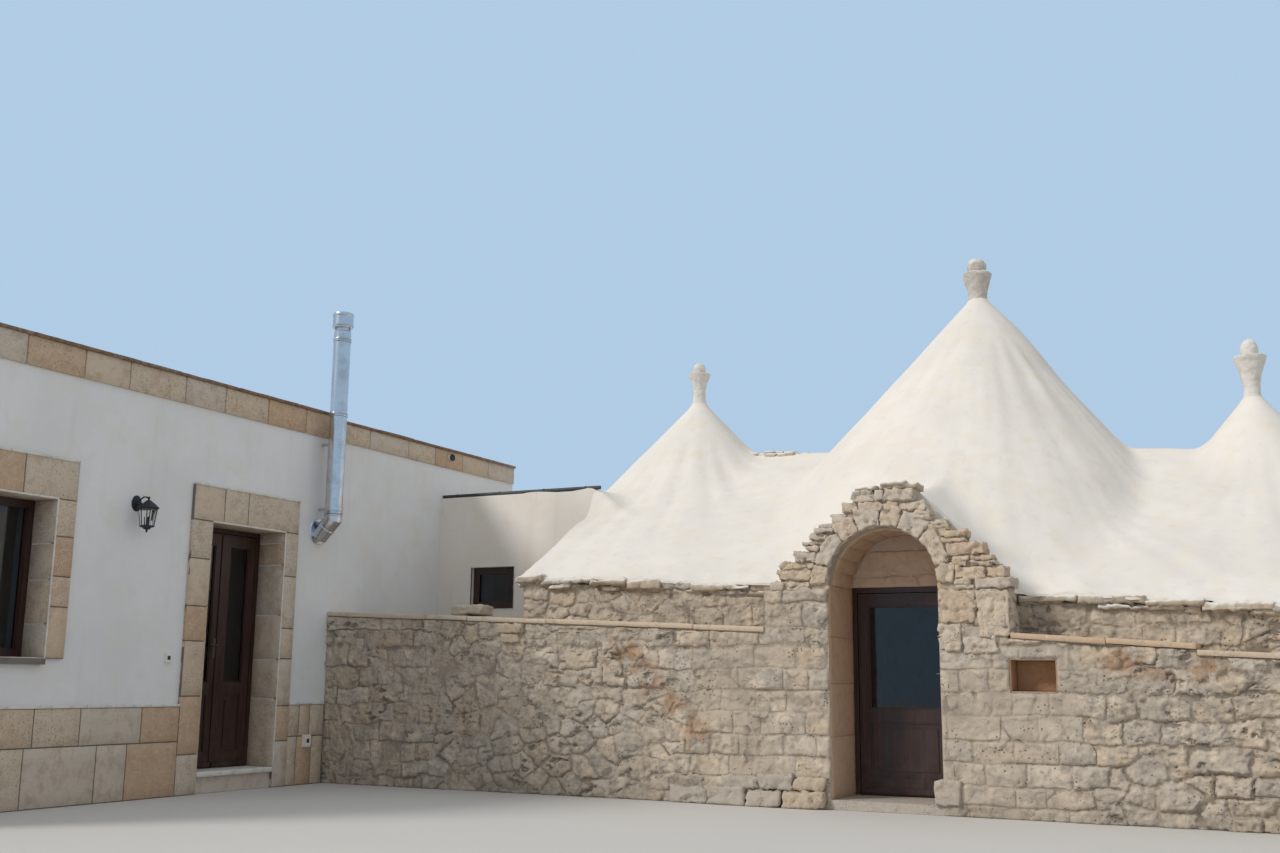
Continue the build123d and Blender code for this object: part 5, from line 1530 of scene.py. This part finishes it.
def build_window_details():
    """Beads in the window, and the frame and knob of the hatch; a pale strip round the hatch is a painted
    highlight on its lit reveal edges.
    """
    x = WING_X - DEEP_WINDOW
    win0, win1, sill = WING_WINDOW
    mid, z0, z1, w = (win0 + win1) / 2, sill + 0.065, WING_DOOR[2] - 0.065, 0.014
    parts = []
    for y0, y1 in ((win0 + 0.065, mid - 0.0325), (mid + 0.0325, win1 - 0.065)):
        parts += [cuboid(x - 0.026, x - 0.006, *strip) for strip in
                  ((y0, y1, z0, z0 + w), (y0, y1, z1 - w, z1), (y0, y0 + w, z0, z1), (y1 - w, y1, z0, z1))]
    parts.append(cuboid(x, x + 0.012, mid - 0.022, mid + 0.022, sill + 0.01, 2.49))
    joined("window_beads", parts, "wood", bevel=0.003)
    y = BLOCK_Y + 0.06
    x0, x1, z0, z1 = HATCH
    bars = framed("x", x0 + 0.065, x1 - 0.065, y - 0.004, y + 0.02, z0 + 0.065, z1 - 0.065, 0.018)
    joined("hatch_beads", bars, "wood", bevel=0.003)
    # painted highlight: a pale strip round the hatch stands for its sunlit reveal edges
    edge = [cuboid(a, b, BLOCK_Y - 0.005, BLOCK_Y + 0.02, c, d) for a, b, c, d in
            ((x0 - 0.012, x1 + 0.012, z0 - 0.014, z0), (x0 - 0.012, x1 + 0.012, z1, z1 + 0.01),
             (x0 - 0.012, x0, z0, z1), (x1, x1 + 0.012, z0, z1))]
    joined("hatch_edge", edge, "pale_strip", bevel=0.002)
    knob = turned((0, 0, 0), ((0.011, 0.0), (0.011, 0.003), (0.005, 0.005), (0.005, 0.012), (0.012, 0.017),
            (0.013, 0.023), (0.009, 0.028), (0.001, 0.029)), 20)
    joined("hatch_knob", [moved(knob, lambda a, b, c: (x1 - 0.033 + a, y - c, 2.1 + b))], "handle")


def build_flue():
    """Stainless flue: seamed pipe, two-part elbow into the wall, cap over a dark gap."""
    knee = 2.68
    neck = FLUE_TOP - 0.2 - knee
    clamp = ((0.0, -0.022), (0.006, -0.018), (0.007, -0.008), (0.002, -0.003), (0.002, 0.003),
             (0.007, 0.008), (0.006, 0.018), (0.0, 0.022))
    profile = [(FLUE_R, -0.02)]
    for seam in (2.76, 3.79, 4.6):
        profile += [(FLUE_R + out, seam - knee + up) for out, up in clamp]
    profile += [(FLUE_R, neck - 0.006), (FLUE_R - 0.004, neck), (0.07, neck + 0.002), (0.07, neck + 0.04)]
    pipe = turned((FLUE_X, FLUE_Y, knee), profile)
    cap = turned((FLUE_X, FLUE_Y, FLUE_TOP), (
        (0.066, -0.16), (0.106, -0.163), (0.108, -0.15), (0.1125, -0.146), (0.1135, -0.138),
        (0.109, -0.133), (0.109, -0.04), (0.1135, -0.034), (0.1135, -0.026), (0.109, -0.02),
        (0.106, -0.006), (0.098, -0.001), (0.001, 0.0)))
    struts = []
    for a in turns(4):
        x, y = FLUE_X + 0.078 * cos(a + 0.4), FLUE_Y + 0.078 * sin(a + 0.4)
        struts.append(cuboid(x - 0.006, x + 0.006, y - 0.006, y + 0.006, knee + neck - 0.01,
                FLUE_TOP - 0.155))
    # elbow: rings along the pipe, at the knee and along the slanting arm, with how far each stands out
    side, pipe_way, arm_way = Vector((0, 1, 0)), Vector((0, 0, -1)), Vector((-1, 0, -1)).normalized()
    knee_at, wall = Vector((FLUE_X, FLUE_Y, knee)), WING_X + 0.001
    rings = [(pipe_way, far, out) for far, out in
             ((-0.1, 0.0), (-0.05, 0.0), (-0.045, 0.005), (-0.035, 0.005), (-0.03, 0.0))]
    rings.append(((pipe_way + arm_way).normalized(), 0.0, FLUE_R * 0.04))
    rings += [(arm_way, far, out) for far, out in
              ((0.1, 0.0), (0.105, 0.006), (0.12, 0.006), (0.125, 0.0), (0.245, 0.0))]
    skins = []
    for way, far, out in rings:
        centre, other = knee_at + way * far, way.cross(side).normalized()
        ring = [centre + (side * cos(a) + other * sin(a)) * (FLUE_R + out) for a in turns(48)]
        skins.append([(max(p.x, wall), p.y, p.z) for p in ring])
    z = (knee_at + arm_way * 0.245).z + 0.055
    collar = tube([(wall, FLUE_Y, z), (WING_X + 0.012, FLUE_Y, z)], [0.135, 0.128], 40)
    joined("flue_pipe", [pipe, cap, *struts, ringed(skins), collar], "steel",
           replaced=("flue",), sharp=32)


def build_lantern():
    """Carriage lantern: back plate, scrolled arm, hood, glazing bars, foot and drops."""
    x, y, z = LANTERN_X, LANTERN_Y, LANTERN_Z
    roof, foot = z - 0.045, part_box("lantern_glass")[0].z

    def six(level, *profile):
        return turned((x, y, level), profile, 6, 0.5)

    plate = moved(turned((0, 0, 0), ((0.062, 0.0), (0.062, 0.004), (0.054, 0.009), (0.034, 0.012),
                               (0.02, 0.018), (0.001, 0.022)), 32),
            lambda a, b, c: (WING_X + c, y + a * 0.9, z + b * 1.15))
    arm = tube([(WING_X + 0.008, y, z), (WING_X + 0.045, y, z + 0.028), (WING_X + 0.085, y, z + 0.052),
                (WING_X + 0.125, y, z + 0.05), (x, y, z + 0.028), (x, y, roof + 0.03)], 0.0065, 10)
    scroll = []
    for k in range(15):
        a, r = pi * 1.5 * k / 14 - 1.2, 0.03 - 0.0012 * k
        scroll.append((WING_X + 0.05 + r * cos(a), y, z - 0.02 + r * sin(a)))
    hood = six(roof, (0.096, -0.01), (0.098, -0.002), (0.09, 0.004), (0.062, 0.03), (0.036, 0.05),
               (0.026, 0.058), (0.018, 0.064), (0.012, 0.066))
    ball = turned((x, y, roof), ((0.004, 0.062), (0.008, 0.068), (0.006, 0.074), (0.011, 0.082),
            (0.01, 0.09), (0.005, 0.097), (0.001, 0.099)), 16)
    rims = [six(roof, (0.076, -0.016), (0.086, -0.014), (0.086, -0.004), (0.076, -0.002)),
            six(foot, (0.046, -0.01), (0.066, -0.006), (0.066, 0.004), (0.05, 0.008)),
            six(foot, (0.001, -0.03), (0.028, -0.026), (0.034, -0.018), (0.06, -0.006), (0.05, 0.0))]
    bars = [tube([(x + 0.06 * cos(a), y + 0.06 * sin(a), foot),
                  (x + 0.0815 * cos(a), y + 0.0815 * sin(a), roof - 0.004)], 0.0042, 6)
            for a in turns(6, 0.5)]
    drop = turned((x, y, foot), ((0.001, -0.056), (0.006, -0.052), (0.011, -0.043), (0.008, -0.035),
            (0.012, -0.03), (0.028, -0.027), (0.028, -0.02), (0.001, -0.018)), 20)
    holder = turned((x, y, foot), ((0.016, 0.0), (0.016, 0.012), (0.011, 0.014), (0.011, 0.075),
            (0.006, 0.085), (0.001, 0.088)), 16)
    joined("carriage_lantern", [plate, arm, tube(scroll, 0.0045, 8), hood, ball, *rims, *bars, drop, holder],
           "iron", replaced=("wall_lantern",), sharp=30)


def build_fittings():
    """Rocker of the switch, lid of the socket, lens of the spotlight, clips of the pipe."""
    frames, insets = [], []
    for y, z, x, half in ((-5.78, 1.22, WING_X + 0.012, 0.04), (-3.9, 0.43, WING_X + 0.065, 0.046)):
        rim = half * 0.45
        frames += framed("y", y - half, y + half, x, x + 0.005, z - half, z + half, half - rim)
        insets += [cuboid(x - 0.001, x + 0.002, y - rim, y + rim, z - rim, z + rim),
                   cuboid(x + 0.002, x + 0.0045, y - rim * 0.7, y + rim * 0.7, z - rim * 0.6, z + rim * 0.6)]
    joined("switch_frames", frames, "plastic", bevel=0.0012)
    joined("switch_centres", insets, "dark_pipe", bevel=0.0008)
    lens = turned((0, 0, 0), ((0.04, 0.034), (0.042, 0.04), (0.042, 0.052), (0.034, 0.054), (0.03, 0.048),
            (0.001, 0.046)), 32)
    joined("spotlight_lens", [moved(lens, lambda a, b, c: (WING_X + 0.025 + c, -1.55 + a, 3.69 + b))], "iron")
    clips = []
    for x0, x1 in ((x - 0.008, x + 0.008) for x in (-5.9, -5.3, -4.7, -4.15)):
        clips += [tube([(x0, BLOCK_Y + 0.045, 3.2025), (x1, BLOCK_Y + 0.045, 3.2025)], 0.0265, 24),
                  cuboid(x0, x1, BLOCK_Y + 0.015, BLOCK_Y + 0.075, 3.1795, 3.184)]
    joined("pipe_clips", clips, "dark_pipe")


# ---------------------------------------------------------------- operators

class Step:
    """Shared by the operators: runs its builders and reports done."""
    builders = ()

    def execute(self, context):
        for builder in self.builders:
            builder()
        return {"FINISHED"}


def make_finishes():
    """All node groups and materials, and the finishes of the CAD nodes that stay."""
    settings = bpy.context.scene.trullo_colours
    c = {key: tuple(getattr(settings, key)) for key in TrulloColours.__annotations__}
    GROUPS.update({"Blotches": blotch_group(), "Rain streaks": streak_group(), "Grit": grit_group()})
    TREES.update({"rubble": rubble_tree(), "weathered": weathered_tree()})
    rubble = c["stone"], c["stone_warm"], c["mortar"]
    FINISHES.update({
        "limewash": limewash("limewash", c["limewash"], 0.13),
        # the wing plaster's cool blue tint is painted shade
        "plaster": limewash("wing_plaster", c["wing_plaster"], 0.1),
        "masonry": masonry("rubble_masonry", *rubble),
        "flat_masonry": masonry("flat_masonry", *rubble, "flat"),
        "mortar": masonry("lime_mortar", *rubble, ""),
        "sandstone": dressed("sandy_blocks", c["sandstone"], c["sandstone_warm"], veined=True),
        "reveal_stone": dressed("reveal_blocks", (0.58, 0.43, 0.31), (0.53, 0.355, 0.235), pit_depth=0.3),
        "orange_stone": dressed("niche_blocks", (0.5, 0.35, 0.24), (0.45, 0.27, 0.16)),
        "gable_stone": dressed("rough_portal_stone", (0.62, 0.52, 0.41), (0.6, 0.47, 0.345), 0.0,
                               pit_depth=1.4, bump=0.018),
        "foot_stone": dressed("foot_stones", (0.51, 0.44, 0.36), (0.54, 0.44, 0.33), pit_depth=1.4,
                              bump=0.018),
        "whitened_stone": dressed("whitened_slabs", (0.46, 0.41, 0.34), (0.5, 0.41, 0.31), 0.75,
                                  pit_depth=1.0, bump=0.012),
        "coping_stone": dressed("thin_copings", c["slab"], (0.57, 0.42, 0.29), pit_depth=0.7),
        "pale_strip": dressed("pale_strips", (0.7, 0.68, 0.63), (0.6, 0.55, 0.48), pit_depth=0.3),
        "block_joints": dressed("block_joints", (0.2, 0.17, 0.14), (0.17, 0.14, 0.11), pit_depth=0.4),
        "lichened_stone": dressed("drip_slabs", (0.3, 0.24, 0.18), (0.27, 0.16, 0.1), lichen=0.5),
        "finial_stone": dressed("bare_finial", (0.62, 0.57, 0.5), (0.52, 0.46, 0.38), 0.25, 0.12, 1.0,
                                0.012),
        "finial_pale": dressed("washed_finials", (0.74, 0.7, 0.64), (0.66, 0.6, 0.52), 0.3, 0.05, 0.6,
                               0.008),
        "wood": stained_wood("stained_wood", c["wood"]),
        "steel": metal("flue_steel", c["steel"], 0.2, brushed=0.35),
        "handle": metal("door_metal", (0.17, 0.145, 0.12), 0.36),
        "iron": metal("black_iron", c["iron"], 0.45, metallic=0.3),
        "dark_pipe": metal("dark_pipe", (0.045, 0.042, 0.045), 0.55, metallic=0.0),
        "plastic": moulded("white_plastic", c["plastic"]),
        "glass": pane("window_pane", (0.42, 0.47, 0.53), 0.03),
        "lantern_glass": pane("lantern_pane", (0.93, 0.93, 0.9), 0.06),
    })
    dressing = {
        "mortar": ("passage_arches", "left_front_wall", "left_back_wall", "main_front_wall_left",
                   "main_front_wall_right", "main_back_wall", "right_front_wall", "right_back_wall",
                   "right_end_wall", "room_piers", "portal_arch"),
        "flat_masonry": ("left_low_wall", "right_low_wall", "terrace_fills"),
        "limewash": ("main_cone", "left_cone", "right_cone", "roof_saddles", "block_shoulder",
                     "portal_roof", "finials", "block_walls", "block_roof", "left_end_wall"),
        "plaster": ("facade_wall_end", "facade_wall_sill", "facade_wall_middle", "facade_wall_right",
                    "facade_wall_top", "wing_back_wall", "wing_end_walls", "wing_roof"),
        "block_joints": ("door_surround", "window_surround", "wing_plinth"),
        "sandstone": ("wing_coping",),
        "reveal_stone": ("tympanum",),
        "coping_stone": ("wing_floor", "low_wall_copings", "eave_slabs"),
        "foot_stone": ("trullo_floor",),
        "wood": ("trullo_door", "door_frames", "wing_door_left", "wing_door_right", "window_frames"),
        "handle": ("trullo_door_fittings", "wing_door_fittings_left", "wing_door_fittings_right",
                   "door_hinges"),
        "glass": ("trullo_door_glass", "wing_door_glass_left", "wing_door_glass_right", "window_glass"),
        "steel": ("flue", "flue_brackets"),
        "iron": ("wall_lantern",),
        "lantern_glass": ("lantern_glass",),
        "dark_pipe": ("roof_pipe",),
        "plastic": ("wall_fittings",),
    }
    for finish_name, nodes in dressing.items():
        for node in nodes:
            dress(node, finish_name)


def build_stage():
    """Pale floor and backdrop, one soft key, light all round, and the photograph's viewpoint."""
    stage = bpy.context.scene.trullo_stage
    scene = bpy.context.scene
    floor = add_object("floor", [(-60, -60, -0.002), (60, -60, -0.002), (60, 60, -0.002), (-60, 60, -0.002)],
            [(0, 1, 2, 3)])
    t = Finish("pale_floor", Roughness=0.9, Specular_IOR_Level=0.1)
    base = t.mix(t.blotches(2.0, 0.3, 0.8), tuple(stage.floor), scaled(stage.floor, 0.97))
    t.fill(t.bsdf, {"Base Color": base})
    floor.data.materials.append(t.material)
    lamp = bpy.data.lights.new("soft_key", "SUN")
    lamp.energy, lamp.angle = stage.key, stage.spread
    lamp.color = (1.0, 0.955, 0.89)
    key = bpy.data.objects.new("soft_key", lamp)
    key.matrix_world = Vector((-0.6, -0.74, 0.68)).to_track_quat("Z", "Y").to_matrix().to_4x4()
    scene.collection.objects.link(key)
    world = bpy.data.worlds.new("studio")
    world.use_nodes = True
    scene.world = world
    w = Tree(world.node_tree)
    for node in list(world.node_tree.nodes):
        world.node_tree.nodes.remove(node)
    seen, glossy, through = (w.add("ShaderNodeLightPath", out=ray) for ray in
            ("Is Camera Ray", "Is Glossy Ray", "Is Transmission Ray"))
    seen = w.math("MAXIMUM", seen, w.math("MAXIMUM", glossy, through))
    light = w.add("ShaderNodeBackground", {"Color": (0.9, 0.95, 1.0, 1.0), "Strength": stage.fill})
    drop = w.add("ShaderNodeBackground", {"Color": (*stage.sky, 1.0), "Strength": 1.0})
    w.fill(w.tree.nodes.new("ShaderNodeOutputWorld"),
           {"Surface": w.add("ShaderNodeMixShader", {0: seen, 1: light, 2: drop})})
    ahead = Vector((-sin(TURN) * cos(PITCH), cos(TURN) * cos(PITCH), sin(PITCH)))
    level = Vector((cos(TURN), sin(TURN), 0.0))
    rise = level.cross(ahead)
    right = level * cos(ROLL) + rise * sin(ROLL)
    up = rise * cos(ROLL) - level * sin(ROLL)
    camera = bpy.data.cameras.new("view")
    camera.sensor_width = 36.0
    camera.lens = LENS
    camera.clip_end = 300.0
    eye = bpy.data.objects.new("view", camera)
    eye.matrix_world = Matrix.Translation(EYE) @ Matrix((right, up, -ahead)).transposed().to_4x4()
    scene.collection.objects.link(eye)
    scene.camera = eye
    scene.view_settings.view_transform = "Standard"


class TRULLO_OT_finishes(Step, bpy.types.Operator):
    """Make the finishes and give them to the CAD nodes"""
    bl_idname = "trullo.finishes"
    bl_label = "Finishes"
    builders = (make_finishes,)


class TRULLO_OT_stage(Step, bpy.types.Operator):
    """Floor, backdrop, light and camera"""
    bl_idname = "trullo.stage"
    bl_label = "Stage"
    builders = (build_stage,)


class TRULLO_OT_roof(Step, bpy.types.Operator):
    """Plastered roof with its bare ridge stones"""
    bl_idname = "trullo.roof"
    bl_label = "Plastered roof"
    builders = (build_roof, build_ridge_stones)


class TRULLO_OT_finials(Step, bpy.types.Operator):
    """Finials on the three cones"""
    bl_idname = "trullo.finials"
    bl_label = "Finials"
    builders = (build_finials,)


class TRULLO_OT_rubble(Step, bpy.types.Operator):
    """Rubble masonry on the walls"""
    bl_idname = "trullo.rubble"
    bl_label = "Rubble walls"
    builders = (build_rubble,)


class TRULLO_OT_portal(Step, bpy.types.Operator):
    """Arch, gable and doorway lining"""
    bl_idname = "trullo.portal"
    bl_label = "Portal"
    builders = (build_portal, build_reveal)


class TRULLO_OT_slabs(Step, bpy.types.Operator):
    """Eave slabs and low wall copings"""
    bl_idname = "trullo.slabs"
    bl_label = "Thin slabs"
    builders = (build_slabs,)


class TRULLO_OT_blocks(Step, bpy.types.Operator):
    """Dressed blocks of the wing"""
    bl_idname = "trullo.blocks"
    bl_label = "Dressed blocks"
    builders = (build_surrounds, build_parapet)


class TRULLO_OT_joinery(Step, bpy.types.Operator):
    """Details of doors, window and hatch"""
    bl_idname = "trullo.joinery"
    bl_label = "Joinery"
    builders = (build_trullo_joinery, build_wing_joinery, build_window_details)


class TRULLO_OT_flue(Step, bpy.types.Operator):
    """Stainless flue"""
    bl_idname = "trullo.flue"
    bl_label = "Flue"
    builders = (build_flue,)


class TRULLO_OT_lantern(Step, bpy.types.Operator):
    """Carriage lantern"""
    bl_idname = "trullo.lantern"
    bl_label = "Lantern"
    builders = (build_lantern,)


class TRULLO_OT_fittings(Step, bpy.types.Operator):
    """Switch, socket, spotlight and pipe clips"""
    bl_idname = "trullo.fittings"
    bl_label = "Small fittings"
    builders = (build_fittings,)


OPERATORS = (TRULLO_OT_finishes, TRULLO_OT_stage, TRULLO_OT_roof, TRULLO_OT_finials, TRULLO_OT_rubble,
        TRULLO_OT_portal, TRULLO_OT_slabs, TRULLO_OT_blocks, TRULLO_OT_joinery, TRULLO_OT_flue,
        TRULLO_OT_lantern, TRULLO_OT_fittings)


class TRULLO_PT_panel(bpy.types.Panel):
    """Sidebar panel with the settings and the steps"""
    bl_idname = "TRULLO_PT_panel"
    bl_label = "Trullo house"
    bl_space_type = "VIEW_3D"
    bl_region_type = "UI"
    bl_category = "Trullo"

    def draw(self, context):
        for name in ("trullo_sizes", "trullo_colours", "trullo_stage"):
            group = getattr(context.scene, name)
            box = self.layout.box()
            for key in type(group).__annotations__:
                box.prop(group, key)
        for operator in OPERATORS:
            self.layout.operator(operator.bl_idname)


CLASSES = (TrulloSizes, TrulloColours, TrulloStage, *OPERATORS, TRULLO_PT_panel)


def register():
    for cls in CLASSES:
        bpy.utils.register_class(cls)
    bpy.types.Scene.trullo_sizes = bpy.props.PointerProperty(type=TrulloSizes)
    bpy.types.Scene.trullo_colours = bpy.props.PointerProperty(type=TrulloColours)
    bpy.types.Scene.trullo_stage = bpy.props.PointerProperty(type=TrulloStage)


def unregister():
    for name in ("trullo_sizes", "trullo_colours", "trullo_stage"):
        delattr(bpy.types.Scene, name)
    for cls in reversed(CLASSES):
        bpy.utils.unregister_class(cls)


def main():
    register()
    for operator in OPERATORS:
        group, name = operator.bl_idname.split(".")
        getattr(getattr(bpy.ops, group), name)()
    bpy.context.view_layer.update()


if __name__ == "__main__":
    main()
